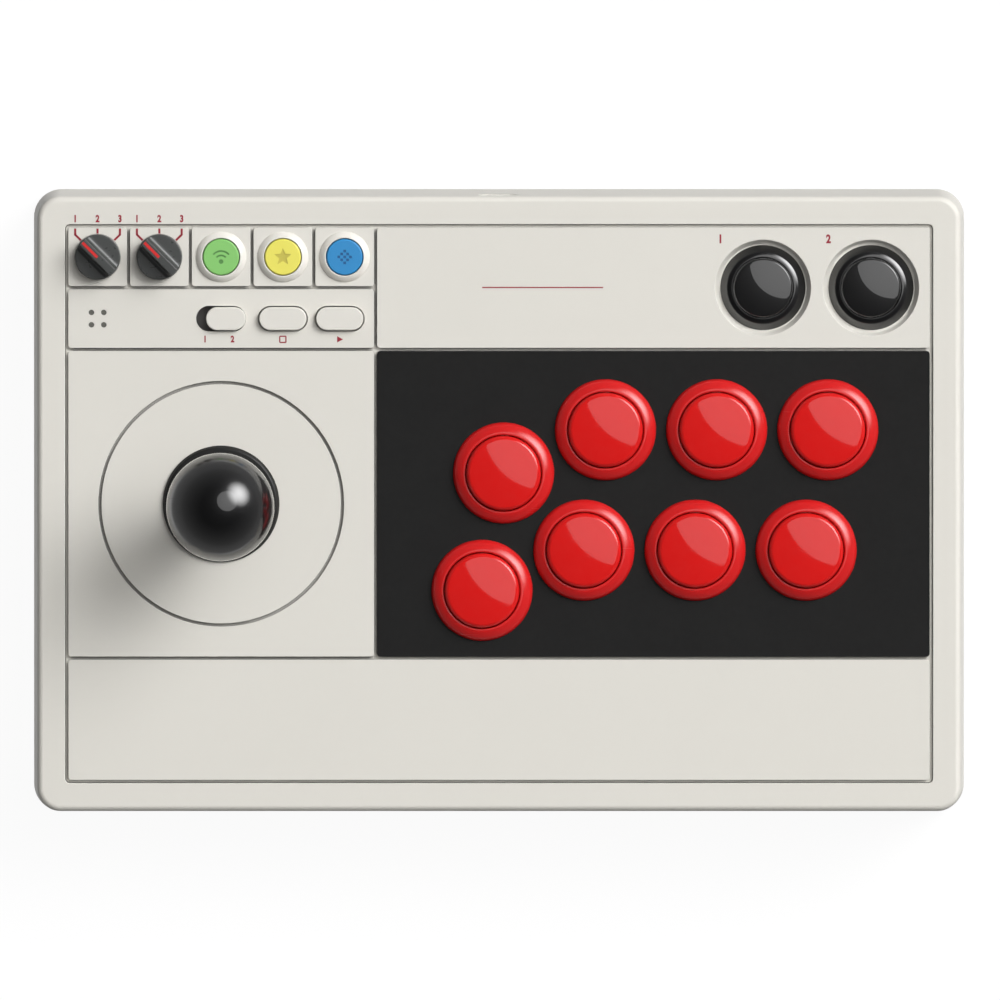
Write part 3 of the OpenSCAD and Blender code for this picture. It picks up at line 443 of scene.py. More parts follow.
# The shutter's grey is painted shade, standing for the shadow in the slot under the thumb piece.
matt("shutter_painted_shade", colour(100, 98, 95), 0.5, 2600.0, 0.006, colour(120, 118, 114), 0.2)
matt("black_matt", colour(28, 28, 27), 0.42, 2400.0, 0.010, colour(70, 70, 68), 0.4, 0.3)
matt("switch_black", colour(36, 36, 38), 0.5, 2200.0, 0.014, colour(80, 80, 82), 0.4)
matt("foot_rubber", colour(44, 44, 46), 0.8, 1600.0, 0.030, colour(70, 70, 72), 0.4)
matt("cable_sheath", colour(52, 52, 54), 0.55, 1800.0, 0.012, colour(90, 90, 92), 0.3)
matt("pivot_nylon", colour(234, 232, 224), 0.35, 2600.0, 0.006, colour(244, 243, 238), 0.3)
matt("connector_ivory", colour(228, 222, 206), 0.4, 2400.0, 0.008, colour(240, 237, 226), 0.3)
matt("print_red", colour(150, 28, 46), 0.5, 3000.0, 0.004, colour(180, 70, 80), 0.2)

# %% [markdown]
# ### Metal and circuit board
#
# Screws, springs and switch frames are zinc plated: metallic, with a brushed streak in the
# gloss. A board is glass fibre under green lacquer, whose weave shows as faint squares.


# %% Plated metal and board finishes
def plated(name, base, roughness):
    """Zinc plating: metallic, with streaks in its gloss."""
    tree, shader, _, shine = base_finish(name, base, roughness, 0.1, 900.0, 0.004, drift=0.2)
    shader.inputs["Metallic"].default_value = 1.0
    wiped = add_group(tree, hairlines, Amount=0.25)
    streaked = math_node(tree, "ADD", shine, wiped.outputs["Mask"])
    tree.links.new(streaked, shader.inputs["Roughness"])


plated("screw_steel", colour(176, 178, 182), 0.3)
plated("plated_steel", colour(196, 197, 199), 0.24)

tree, shader, tinted, _ = base_finish(
    "board_green", colour(34, 104, 62), 0.3, 0.06, 2000.0, 0.003, drift=0.15
)
weave = node(tree, "ShaderNodeTexChecker", scale=1400.0)
weave.inputs["Color1"].default_value = (0.0, 0.0, 0.0, 1.0)
place = node(tree, "ShaderNodeTexCoord")
tree.links.new(place.outputs["Object"], weave.inputs["Vector"])
faint = math_node(tree, "MULTIPLY", weave.outputs["Fac"], 0.12)
woven = lay_over(tree, tinted, colour(96, 150, 96), faint)
tree.links.new(woven, shader.inputs["Base Color"])
print("finishes:", len(finishes))

# %% [markdown]
# ## Shape tools
#
# Three tools make nearly every new piece. A turned piece is an outline spun round an upright
# axis. A rounded block is a flat face with rounded corners, pulled up and bevelled. A copy of a
# frame node gets its sharp edges broken with a bevel. Each ends in the same way: doubles are
# merged, normals turned outward, and the flat faces weigh most in the smooth shading, so that a
# narrow bevel doesn't bend the light on the wide face beside it.


# %% Turning a bmesh into a piece
sharp_edge = math.radians(38)
double_dist = 0.002 * MM


def add_piece(bm, name, body, slot, replaced=(), finish=None):
    """A finished piece at the origin, riding on its body and standing for the named nodes."""
    mesh = bpy.data.meshes.new(name)
    bm.to_mesh(mesh)
    bm.free()
    mesh.shade_smooth()
    mesh.set_sharp_from_angle(angle=sharp_edge)
    mesh.materials.append(finishes[finish or slot])
    piece = bpy.data.objects.new(name, mesh)
    bpy.context.scene.collection.objects.link(piece)
    weigh = piece.modifiers.new("flat faces first", "WEIGHTED_NORMAL")
    weigh.keep_sharp = True
    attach(piece, body)
    if replaced:
        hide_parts(*replaced)


def tidy(bm):
    """Merges doubles and turns every face outward."""
    bmesh.ops.remove_doubles(bm, verts=bm.verts, dist=double_dist)
    bmesh.ops.recalc_face_normals(bm, faces=bm.faces)


def curve_points(cx, cz, r, start, end, steps=8):
    """Points of an arc round (cx, cz), from one angle to another, in degrees."""
    angles = [math.radians(start + (end - start) * i / steps) for i in range(steps + 1)]
    return [(cx + r * math.cos(a), cz + r * math.sin(a)) for a in angles]


def spin_outline(bm, outline, centre, steps=128):
    """Spins (radius, height) points, in millimetres, round the upright axis through centre."""
    verts = [bm.verts.new((centre.x + r * MM, centre.y, z * MM)) for r, z in outline]
    ends = [] if outline[0][0] == 0 == outline[-1][0] else [(verts[-1], verts[0])]
    edges = [bm.edges.new(pair) for pair in [*zip(verts, verts[1:]), *ends]]
    bmesh.ops.spin(
        bm, geom=verts + edges, cent=centre, axis=(0, 0, 1),
        angle=2 * math.pi, steps=steps, use_merge=True,
    )


def turned_piece(name, outline, centre, body, slot, replaced, finish=None):
    """A piece that is one outline spun round its centre."""
    bm = bmesh.new()
    spin_outline(bm, outline, centre)
    tidy(bm)
    add_piece(bm, name, body, slot, replaced, finish)


# %% What the frame says about a node
def centre_of(node_name):
    """The middle of a node's box seen from above, in metres."""
    low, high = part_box(node_name)
    return Vector(((low.x + high.x) / 2, (low.y + high.y) / 2, 0))


def width_of(node_name, axis=0):
    """A node's size along an axis, in millimetres."""
    low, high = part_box(node_name)
    return (high[axis] - low[axis]) / MM


def heights_of(node_name):
    """A node's lowest and highest point, in millimetres."""
    return (corner.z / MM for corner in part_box(node_name))


def slot_of(item):
    """The name of a frame node's slot."""
    return item.data.materials[0].name.split(".")[0]


print("the lever stands at", [round(v / MM, 1) for v in centre_of("ball_top")[:2]])


# %% Extruded vertices and rounded edges
def raised_verts(grown):
    """The vertices that an extrusion has made."""
    return [item for item in grown["geom"] if isinstance(item, bmesh.types.BMVert)]


def round_edges(bm, edges, size, segments):
    """Bevels edges round; size is in millimetres."""
    bmesh.ops.bevel(
        bm, geom=edges, offset=size * MM, offset_type="OFFSET", affect="EDGES",
        segments=segments, profile=0.5, material=-1, clamp_overlap=True,
    )


# %% A face with rounded corners, pulled up into a block
def rounded_block(
    bm, centre, width, depth, corner, z0, z1, top_edge, foot_edge=0.0, segments=6
):
    """A block in millimetres, its upright corners and its top and foot edges rounded."""
    made = bmesh.ops.create_grid(bm, x_segments=1, y_segments=1, size=0.5)
    corners = made["verts"]
    place = Matrix.Translation((centre.x, centre.y, z0 * MM))
    size = Matrix.Diagonal((width * MM, depth * MM, 1, 1))
    bmesh.ops.transform(bm, matrix=place @ size, verts=corners)
    face = corners[0].link_faces[0]
    cut = bmesh.ops.bevel(
        bm, geom=corners, offset=corner * MM, offset_type="OFFSET", affect="VERTICES",
        segments=2 * segments, profile=0.5, material=-1, clamp_overlap=True,
    )
    outline = {v for f in cut["faces"] for v in f.verts}
    outline |= set(face.verts if face.is_valid else [])
    outline = [v for v in outline if v.is_valid]
    bmesh.ops.remove_doubles(bm, verts=outline, dist=0.01 * MM)
    flat = [f for f in bm.faces if all(abs(v.co.z - z0 * MM) < 1e-9 for v in f.verts)]
    grown = bmesh.ops.extrude_face_region(bm, geom=flat, use_keep_orig=True)
    bmesh.ops.translate(bm, vec=(0, 0, (z1 - z0) * MM), verts=raised_verts(grown))
    for height, edge in ((z1, top_edge), (z0, foot_edge)):
        if edge > 0:
            rim = [
                e for e in bm.edges
                if all(abs(v.co.z - height * MM) < 1e-7 for v in e.verts)
                and e.calc_face_angle(0) > 0.5
            ]
            round_edges(bm, rim, edge, segments)


# %% A copy of a frame node with its edges broken
flat_within = math.radians(0.6)
corner_from = math.radians(45)


def eased_copy(name, node_name, edge, only=None):
    """Copies a node's mesh, joins its triangles into faces and bevels its sharp edges."""
    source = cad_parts[node_name]
    bm = bmesh.new()
    bm.from_mesh(source.data)
    bmesh.ops.remove_doubles(bm, verts=bm.verts, dist=double_dist)
    bmesh.ops.dissolve_limit(bm, angle_limit=flat_within, verts=bm.verts, edges=bm.edges)
    picked = [
        e for e in bm.edges
        if len(e.link_faces) == 2
        and e.calc_face_angle() > corner_from
        and (only is None or only(e))
    ]
    round_edges(bm, picked, edge, 2)
    print(node_name, "eased along", len(picked), "edges")
    add_piece(bm, name, "root", slot_of(source), [node_name])


# %% [markdown]
# ## Case, face plate and base
#
# The case, the plate and the black film have the right shape already. What they lack is the
# small rounding that every moulded or pressed edge has, and that draws a thin light line along
# each groove. So each is a copy whose upper edges are bevelled. The rims of the pill-shaped
# openings stay sharp, because there the gap has to read as a thin dark line. The base plate and
# its screws are rounded on every edge.


# %% Case, plate, film and base
face_tolerance = 0.02


def at_face(e):
    """True for an edge that lies in the face, at the top of the case."""
    return all(v.co.z > (face_z - face_tolerance) * MM for v in e.verts)


def at_open_face(e):
    """True for an edge of the face that isn't the rim of a pill-shaped opening."""
    middle = (e.verts[0].co + e.verts[1].co) / 2
    for name in ("select_key", "start_key", "slider_cap"):
        low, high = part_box(name)
        if low.x < middle.x < high.x and low.y < middle.y < high.y:
            return False
    return at_face(e)


eased_copy("case_shell", "top_housing", 0.3, only=at_face)
eased_copy("grooved_plate", "face_plate", 0.18, only=at_open_face)
eased_copy("button_film", "button_overlay", 0.1, only=at_face)
eased_copy("base_cover", "base_plate", 0.2)
eased_copy("base_screw_set", "base_screws", 0.12)

# %% [markdown]
# ## Large push buttons
#
# Each has a fixed body, whose rim clamps the plate, and a plunger that moves in it. The rim
# has its crest close to the bore and rolls off outward in three arcs: a short one, a long
# gentle one and a tight shoulder. The gentle arc is what holds the long highlight. The crown of
# the plunger is a very flat dome, so that it shows the lamp overhead as a large clear shape.


# %% Outlines of the large buttons
travel_gap = 0.25
action_r = width_of("action_plunger_1") / 2
action_bore = action_r + travel_gap
action_rim_r = 16.4
action_barrel_r = 14.9
body_depth = 20.0
floor_t = 2.0
post_r = 1.5
post_gap = 0.6
skirt_t = 1.3
skirt_depth = 12.0
crown_t = 2.6
rim_h = 3.2
plunger_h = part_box("action_plunger_1")[1].z / MM - face_z


def button_body_outline(crown, bore, barrel, base_z):
    """The rim's crown, then down the bore, over the floor and up outside the barrel."""
    hole_r = post_r + post_gap
    inside = [(bore, floor_t - body_depth), (hole_r, floor_t - body_depth)]
    outside = [(hole_r, -body_depth), (barrel, -body_depth), (barrel, 0.0)]
    return [(r, base_z + z) for r, z in crown + inside + outside]


def plunger_outline(radius, dome_r, edge_r, base_z):
    """A domed crown with a round edge, a thin skirt and the post that works the switch."""
    top, inner_r, post_z = plunger_h, radius - skirt_t, -body_depth - 1.0
    tilt = math.asin((radius - edge_r) / (dome_r - edge_r))
    fall = dome_r - (dome_r - edge_r) * math.cos(tilt) - edge_r
    tilts = [tilt * i / 14 for i in range(15)]
    dome = [(dome_r * math.sin(t), top - dome_r * (1 - math.cos(t))) for t in tilts]
    edge_start = 90 - math.degrees(tilt)
    edge = curve_points(radius - edge_r, top - fall - edge_r, edge_r, edge_start, 0, 10)
    skirt = [(radius, -skirt_depth), (inner_r, -skirt_depth), (inner_r, top - crown_t)]
    post = [(post_r, top - crown_t), (post_r, post_z), (0.0, post_z)]
    return [(r, base_z + z) for r, z in dome + edge[1:] + skirt + post]


def rolled_off(r, z, arcs, steps=8):
    """Points outward and down from a crest; an arc is a radius and its first and last tilt."""
    points = [(r, z)]
    for radius, first, last in arcs:
        r, z = points[-1]
        start = math.radians(first)
        for i in range(1, steps + 1):
            tilt = start + math.radians(last - first) * i / steps
            out = radius * (math.sin(tilt) - math.sin(start))
            down = radius * (math.cos(start) - math.cos(tilt))
            points.append((r + out, z - down))
    return points


crest_r = 0.48
roll = rolled_off(action_bore + crest_r, rim_h, [(2.0, 0, 24), (7.4, 24, 40), (2.85, 40, 85)])
action_crown = (
    [(action_rim_r, 0.0)]
    + roll[:0:-1]
    + curve_points(action_bore + crest_r, rim_h - crest_r, crest_r, 90, 180, 6)
)
print("the rim's slope ends at", [round(v, 2) for v in roll[-1]], "of", action_rim_r)

# %% [markdown]
# The body also has two snap tabs under the plate, and the plunger two lugs that keep it in.
# Those are small blocks beside the turned shape, one on each side, placed by a half turn.


# %% Bodies and plungers of the large buttons
tab_size, tab_drop = (1.9, 6.0, 3.4), 7.6
lug_size, lug_drop = (1.5, 3.6, 2.0), 11.0
proud, block_edge = 0.15, 0.25


def side_blocks(bm, centre, size, reach, z0, quarter):
    """Two bevelled blocks on opposite sides of an axis; quarter turns them by 90 degrees."""
    for side in (0, 1):
        made = bmesh.ops.create_cube(bm, size=1.0)["verts"]
        turn = Matrix.Rotation(math.pi * side + math.pi / 2 * quarter, 4, "Z")
        shift = Matrix.Translation((reach * MM, 0, (z0 + size[2] / 2) * MM))
        scale = Matrix.Diagonal((size[0] * MM, size[1] * MM, size[2] * MM, 1))
        place = Matrix.Translation(centre) @ turn @ shift @ scale
        bmesh.ops.transform(bm, matrix=place, verts=made)
        round_edges(bm, list({e for v in made for e in v.link_edges}), block_edge, 2)


def button_bodies(name, plungers, crown, bore, barrel, base_z, slot, replaced):
    """The fixed bodies round the named plungers, as one piece."""
    centres = [centre_of(plunger) for plunger in plungers]
    bm = bmesh.new()
    for centre in centres:
        spin_outline(bm, button_body_outline(crown, bore, barrel, base_z), centre)
    tidy(bm)
    for centre in centres:
        side_blocks(bm, centre, tab_size, barrel + proud, base_z - tab_drop, 0)
    add_piece(bm, name, "root", slot, [replaced])


def button_plunger(node_name, outline):
    """A turned plunger with its two lugs."""
    centre = centre_of(node_name)
    radius = width_of(node_name) / 2
    bm = bmesh.new()
    spin_outline(bm, outline, centre)
    tidy(bm)
    lug_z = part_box(node_name)[1].z / MM - plunger_h - lug_drop
    side_blocks(bm, centre, lug_size, radius + proud, lug_z, 1)
    slot = slot_of(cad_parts[node_name])
    add_piece(bm, node_name + "_cap", node_name, slot, [node_name])


action_names = [f"action_plunger_{i}" for i in range(1, 9)]
action_dome_r, action_edge_r = 105.0, 1.6
button_bodies(
    "large_button_bodies", action_names, action_crown, action_bore, action_barrel_r, face_z,
    "red_body", "action_button_bodies",
)
for name in action_names:
    button_plunger(name, plunger_outline(action_r, action_dome_r, action_edge_r, face_z))

# %% [markdown]
# ## Small push buttons
#
# The two black buttons sit in dished seats. Their rim is different: a narrow collar stands up
# around the plunger, and from it a straight cone falls to the seat.


# %% Small buttons
macro_names = ["macro_plunger_1", "macro_plunger_2"]
seat_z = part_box("macro_plunger_1")[1].z / MM - plunger_h
macro_r = width_of("macro_plunger_1") / 2
macro_bore = macro_r + travel_gap
macro_rim_r = 13.8
macro_barrel_r = 11.9
macro_dome_r, macro_edge_r = 60.0, 0.6
lip_r = 0.4
collar = rolled_off(macro_bore + lip_r, rim_h, [(4.6, 8, 25), (1.17, 25, 50)])
macro_crown = (
    [(macro_rim_r, 0.0), (macro_rim_r - 0.05, 0.2)]
    + collar[::-1]
    + curve_points(macro_bore + lip_r, rim_h - lip_r, lip_r, 90, 180, 5)[1:]
)
button_bodies(
    "small_button_bodies", macro_names, macro_crown, macro_bore, macro_barrel_r, seat_z,
    "black_gloss", "macro_button_bodies",
)
for name in macro_names:
    button_plunger(name, plunger_outline(macro_r, macro_dome_r, macro_edge_r, seat_z))
print("small buttons seated at", round(seat_z, 2), "mm")

# %% [markdown]
# ## Lever
#
# What shows is the ball, the sleeve under it and the dust washer that slides on the plate. The
# ball is one arc from the pole to the flat under it, then the threaded bore. It needs many
# segments, because its outline and its reflections show every facet.


# %% Ball, sleeve and washer
lever_at = centre_of("ball_top")
ball_r = width_of("ball_top") / 2
ball_low, ball_high = heights_of("ball_top")
ball_mid = ball_high - ball_r
flat_angle = -math.degrees(math.asin((ball_mid - ball_low) / ball_r))
bore_r, bore_depth, bore_edge = 3.05, 12.6, 0.4
ball_outline = (
    [(0.0, ball_low + bore_depth), (bore_r, ball_low + bore_depth)]
    + [(bore_r, ball_low + bore_edge), (bore_r + bore_edge, ball_low)]
    + curve_points(0, ball_mid, ball_r, flat_angle, 90, 72)[:-1]
    + [(0.0, ball_high)]
)
turned_piece(
    "ball", ball_outline, lever_at, "lever", "black_gloss", ["ball_top"], finish="ball_black"
)

sleeve_low, sleeve_high = heights_of("shaft_cover")
sleeve_r = width_of("shaft_cover") / 2
sleeve_bore, end_r = 4.05, 0.4
sleeve_outline = (
    curve_points(sleeve_r - end_r, sleeve_low + end_r, end_r, -90, 0, 4)
    + curve_points(sleeve_r - end_r, sleeve_high - end_r, end_r, 0, 90, 4)
    + [(sleeve_bore, sleeve_high), (sleeve_bore, sleeve_low)]
)
turned_piece("shaft_sleeve", sleeve_outline, lever_at, "lever", "black_matt", ["shaft_cover"])

washer_low, washer_high = heights_of("dust_washer")
washer_r = width_of("dust_washer") / 2
washer_gap, foot_in, shoulder_in = 0.5, 0.2, 1.3
washer_bore = sleeve_r + washer_gap
rim_edge, shoulder_r, bore_round = 0.3, 0.9, 0.25
washer_outline = (
    [(washer_bore, washer_low), (washer_r - foot_in, washer_low)]
    + curve_points(washer_r - rim_edge, washer_low + rim_edge, rim_edge, -60, 20, 4)
    + curve_points(washer_r - shoulder_in, washer_high - shoulder_r, shoulder_r, 20, 90, 6)
    + curve_points(washer_bore + bore_round, washer_high - bore_round, bore_round, 90, 180, 3)
)
turned_piece(
    "dust_disc", washer_outline, lever_at, "dust_washer", "black_matt", ["dust_washer"]
)
print("ball", round(2 * ball_r, 1), "mm, washer", round(2 * washer_r, 1), "mm")

# %% [markdown]
# ## Keys
#
# Each coloured key stands in a ring that slopes down all round it. The symbol on its top is
# pressed in, and a darker tone at its bottom is painted shade, standing for the shadow in the
# recess. So it is cut with a Boolean, by a blade of the symbol's shape, and the shade is a thin
# plate of that shape at the bottom of the cut. The symbols are plain ones: signal arcs, a star
# and a small chequer.


# %% Domed rings
key_names = ["green_key", "yellow_key", "blue_key"]
key_flange, key_gap = 1.2, 0.25
key_r = width_of("green_key") / 2 - key_flange
key_bore = key_r + key_gap
ring_low, ring_high = heights_of("key_rings")
ring_r = width_of("key_rings", 1) / 2
ring_edge = 0.2
ring_outline = (
    [(key_bore, ring_low), (ring_r, ring_low)]
    + rolled_off(key_bore + ring_edge, ring_high, [(3.6, 20, 60)], 12)[::-1]
    + curve_points(key_bore + ring_edge, ring_high - ring_edge, ring_edge, 90, 180, 4)
)
bm = bmesh.new()
for name in key_names:
    spin_outline(bm, ring_outline, centre_of(name))
tidy(bm)
add_piece(bm, "domed_rings", "root", "ring_white", ["key_rings"])
print("rings", round(2 * ring_r, 1), "mm wide,", round(ring_high - ring_low, 2), "mm high")


# %% Blades for the pressed-in symbols
def prism(bm, points, z0, z1):
    """A flat outline in millimetres pulled up into a closed prism."""
    base = bm.faces.new([bm.verts.new((x * MM, y * MM, z0 * MM)) for x, y in points])
    grown = bmesh.ops.extrude_face_region(bm, geom=[base], use_keep_orig=True)
    bmesh.ops.translate(bm, vec=(0, 0, (z1 - z0) * MM), verts=raised_verts(grown))


def signal_shapes():
    """Two arcs over a dot."""
    foot_y, half_stroke = -1.5, 0.28
    arcs = []
    for radius in (2.0, 3.4):
        outer = curve_points(0, foot_y, radius + half_stroke, 42, 138, 14)
        inner = curve_points(0, foot_y, radius - half_stroke, 138, 42, 14)
        arcs.append(outer + inner)
    return arcs + [curve_points(0, foot_y, 0.75, 0, 360, 20)[:-1]]


def star_shape():
    """A star with five points."""
    polar = [((2.9, 1.3)[i % 2], math.radians(90 + 36 * i)) for i in range(10)]
    return [[(r * math.cos(a), r * math.sin(a)) for r, a in polar]]


def chequer_shapes():
    """Nine squares that touch at their corners."""
    side = 0.95
    places = [(i, j) for i in range(-2, 3) for j in range(-2, 3)]
    cells = [(i, j) for i, j in places if (i + j) % 2 == 0 and abs(i) + abs(j) < 3]
    half = side * 0.45
    corners = [(-half, -half), (half, -half), (half, half), (-half, half)]
    return [[(i * side + x, j * side + y) for x, y in corners] for i, j in cells]


def symbol_blade(shapes, centre, z0, z1):
    """The shapes round a centre, as prisms from z0 to z1."""
    blade = bmesh.new()
    for points in shapes:
        prism(blade, [(x + centre.x / MM, y + centre.y / MM) for x, y in points], z0, z1)
    bmesh.ops.recalc_face_normals(blade, faces=blade.faces)
    return blade


def press_in(bm, blade):
    """Cuts the blade into bm with an exact Boolean."""
    objects = []
    for source in (bm, blade):
        mesh = bpy.data.meshes.new("cut")
        source.to_mesh(mesh)
        source.free()
        objects.append(bpy.data.objects.new("cut", mesh))
        bpy.context.scene.collection.objects.link(objects[-1])
    body, tool = objects
    cut = body.modifiers.new("cut", "BOOLEAN")
    cut.operation, cut.solver, cut.object = "DIFFERENCE", "EXACT", tool
    result = bmesh.new()
    result.from_object(body, bpy.context.evaluated_depsgraph_get())
    for item in objects:
        bpy.data.objects.remove(item)
    return result


# %% Coloured keys
press_depth, shade_filling_t, shade_filling_root = 0.3, 0.06, 0.05
above = 1.0
key_low, key_high = heights_of("green_key")
flange_low, flange_t = face_z - 5.4, 1.2
flange_top = flange_low + flange_t
flange_r = key_r + key_flange
stem_r, key_edge = 1.5, 0.45
symbols = dict(zip(key_names, (signal_shapes(), star_shape(), chequer_shapes())))
key_outline = (
    [(0.0, key_high), (key_r - key_edge, key_high)]
    + curve_points(key_r - key_edge, key_high - key_edge, key_edge, 90, 0, 6)[1:]
    + [(key_r, flange_top), (flange_r, flange_top), (flange_r, flange_low)]
    + [(stem_r, flange_low), (stem_r, key_low), (0.0, key_low)]
)
for name, shapes in symbols.items():
    bm = bmesh.new()
    spin_outline(bm, key_outline, centre_of(name), steps=96)
    tidy(bm)
    cut_z = key_high - press_depth
    bm = press_in(bm, symbol_blade(shapes, centre_of(name), cut_z, key_high + above))
    add_piece(bm, name + "_cap", name, name, [name])
    # A thin darker plate in the recess: painted shade.
    shade_filling = symbol_blade(shapes, centre_of(name), cut_z - shade_filling_root, cut_z + shade_filling_t)
    add_piece(shade_filling, name + "_shade_filling", name, name, finish=name.replace("_key", "_mark"))
print("keys cut with", {name: len(shapes) for name, shapes in symbols.items()}, "shapes")

# %% [markdown]
# ## Pill keys and slide switch
#
# The two pill keys and the thumb piece of the slide switch are the same kind of moulding: a
# stadium outline, softly crowned. The crown is a wide bevel, and the flange and stem that hold
# the key under the plate are smaller blocks of the same kind. Under the thumb piece the flange
# is a shutter, which closes the free end of its slot. Its grey is painted shade, standing for
# the shadow that falls into the slot.


# %% Pill keys and thumb piece
pill_gap = 0.4
pill_depth = 8.3 - 2 * pill_gap
pill_width = 16.2 - 2 * pill_gap
thumb_width = 12.9
crown_edge = 1.3
corner_slack = 0.01


def pill_crown(node_name, width, x_shift):
    """The part of a pill key or thumb piece that stands in the opening."""
    centre = centre_of(node_name)
    centre.x += x_shift * MM
    bm = bmesh.new()
    rounded_block(
        bm, centre, width, pill_depth, pill_depth / 2 - corner_slack, flange_top,
        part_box(node_name)[1].z / MM, crown_edge, segments=8,
    )
    return bm


def pill_flange(bm, node_name, corner, post_x, post):
    """The flange under the plate and the post below it; post is its width, depth and corner."""
    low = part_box(node_name)[0].z / MM
    centre = centre_of(node_name)
    wide, deep = width_of(node_name), width_of(node_name, 1)
    rounded_block(bm, centre, wide, deep, corner, flange_low, flange_top, 0.15)
    post_at = Vector((post_x, centre.y, 0))
    rounded_block(bm, post_at, *post, low, flange_low, 0.0, 0.2)
    bmesh.ops.recalc_face_normals(bm, faces=bm.faces)


slide_offset, cap_offset = 0.75, 0.8
slot_x = centre_of("slide_switch").x + slide_offset * MM
for name in ("select_key", "start_key"):
    bm = pill_crown(name, pill_width, 0.0)
    flange_corner = width_of(name, 1) / 2 - corner_slack
    pill_flange(bm, name, flange_corner, centre_of(name).x, (3.0, 3.0, 1.49))
    add_piece(bm, name + "_cap", name, "key_white", [name])
cap_shift = slot_x / MM + cap_offset - centre_of("slider_cap").x / MM
bm = pill_crown("slider_cap", thumb_width, cap_shift)
bmesh.ops.recalc_face_normals(bm, faces=bm.faces)
add_piece(bm, "thumb_piece", "slider", "key_white", ["slider_cap"])
bm = bmesh.new()
pill_flange(bm, "slider_cap", 0.3, slot_x, (1.6, 2.4, 0.2))
# Its grey finish is painted shade for the slot floor.
add_piece(bm, "slider_shutter", "slider", "key_white", finish="shutter_painted_shade")

# %% [markdown]
# ## Rotary selectors
#
# A selector is a round base with a grip ridge across it. The ridge's foot runs out in a hollow
# curve, which catches the light as a soft band. The ridge is an outline pulled along the grip,
# and each of its points is then moved out to the round of the base.


# %% Selectors
knob_names = ("mode_knob", "output_knob")
knob_r = width_of("mode_knob") / 2
knob_low, knob_high = heights_of("mode_knob")
deck_h = face_z + 4.0
ridge_top = 1.35
hollow_r = 1.75
ridge_foot = 3.2
ridge_edge = 0.25
ridge_z = deck_h + 0.02
ridge_sunk = 0.4
ridge_end_r = knob_r - 0.45
ridge_turn = math.radians(135)
knob_foot, knob_draft, knob_edge = 0.2, 0.2, 0.35
knob_outline = (
    [(0.0, knob_low), (knob_r - knob_foot, knob_low), (knob_r, knob_low + knob_foot)]
    + curve_points(knob_r - knob_draft - knob_edge, deck_h - knob_edge, knob_edge, 0, 90, 5)
    + [(0.0, deck_h)]
)
half_ridge = (
    [(ridge_foot, deck_h - ridge_sunk), (ridge_foot, ridge_z)]
    + curve_points(ridge_foot, ridge_z + hollow_r, hollow_r, 270, 186, 10)
    + curve_points(ridge_top - ridge_edge, knob_high - ridge_edge, ridge_edge, 5, 90, 4)
)


def selector(node_name):
    """A turned base with the grip ridge across it."""
    centre = centre_of(node_name)
    bm = bmesh.new()
    spin_outline(bm, knob_outline, centre)
    tidy(bm)
    loop = half_ridge + [(-y, z) for y, z in reversed(half_ridge)]
    base = bm.faces.new([bm.verts.new((0, y * MM, z * MM)) for y, z in loop])
    grown = bmesh.ops.extrude_face_region(bm, geom=[base], use_keep_orig=True)
    far = raised_verts(grown)
    for verts, way in ((base.verts, -1), (far, 1)):
        for v in verts:
            v.co.x = way * math.sqrt((ridge_end_r * MM) ** 2 - v.co.y**2)
    ridge = list(base.verts) + far
    turn = Matrix.Translation(centre) @ Matrix.Rotation(ridge_turn, 4, "Z")
    bmesh.ops.transform(bm, matrix=turn, verts=ridge)
    bmesh.ops.recalc_face_normals(bm, faces=bm.faces)
    add_piece(bm, node_name + "_grip", node_name, "knob_grey", [node_name])


for name in knob_names:
    selector(name)
print("selectors", round(2 * knob_r, 1), "mm wide")

# %% [markdown]
# ## Printed marks
#
# Marks are silk-screened: a film of ink a few hundredths of a millimetre thick. A line is made
# as a thin block, so it has a real edge. The positions are numbered, because plain numbers say
# enough on a dial.


# %% Lines and numbers
ink = 0.03
mark_w, fine_w = 0.7, 0.4
squeeze, stroke = 0.8, 0.045


def ink_line(bm, start, end, width, z=face_z):
    """A thin block from start to end, both in millimetres, lying at height z."""
    run = Vector((end[0] - start[0], end[1] - start[1], 0))
    made = bmesh.ops.create_cube(bm, size=1.0)["verts"]
    middle = Vector(((start[0] + end[0]) / 2, (start[1] + end[1]) / 2, z + ink / 2)) * MM
    turn = Matrix.Rotation(math.atan2(run.y, run.x), 4, "Z")
    scale = Matrix.Diagonal((run.length * MM, width * MM, ink * MM, 1))
    bmesh.ops.transform(bm, matrix=Matrix.Translation(middle) @ turn @ scale, verts=made)


def ink_text(bm, text, x, y, height):
    """A plain number of the given height, its foot at y and its middle at x."""
    curve = bpy.data.curves.new("number", "FONT")
    curve.body, curve.align_x, curve.offset = text, "CENTER", stroke
    holder = bpy.data.objects.new("number", curve)
    bpy.context.scene.collection.objects.link(holder)
    shown = holder.evaluated_get(bpy.context.evaluated_depsgraph_get())
    mesh = bpy.data.meshes.new_from_object(shown)
    bpy.data.objects.remove(holder)
    flat = bmesh.new()
    flat.from_mesh(mesh)
    bmesh.ops.remove_doubles(flat, verts=flat.verts, dist=1e-4)
    low = min(v.co.y for v in flat.verts)
    size = height / (max(v.co.y for v in flat.verts) - low)
    grown = bmesh.ops.extrude_face_region(flat, geom=flat.faces[:], use_keep_orig=True)
    bmesh.ops.translate(flat, vec=(0, 0, ink / size), verts=raised_verts(grown))
    place = Matrix.Translation(Vector((x, y - low * size, face_z)) * MM)
    scale = Matrix.Diagonal((size * squeeze * MM, size * MM, size * MM, 1))
    bmesh.ops.transform(flat, matrix=place @ scale, verts=flat.verts)
    bmesh.ops.recalc_face_normals(flat, faces=flat.faces)
    flat.to_mesh(mesh)
    flat.free()
    bm.from_mesh(mesh)


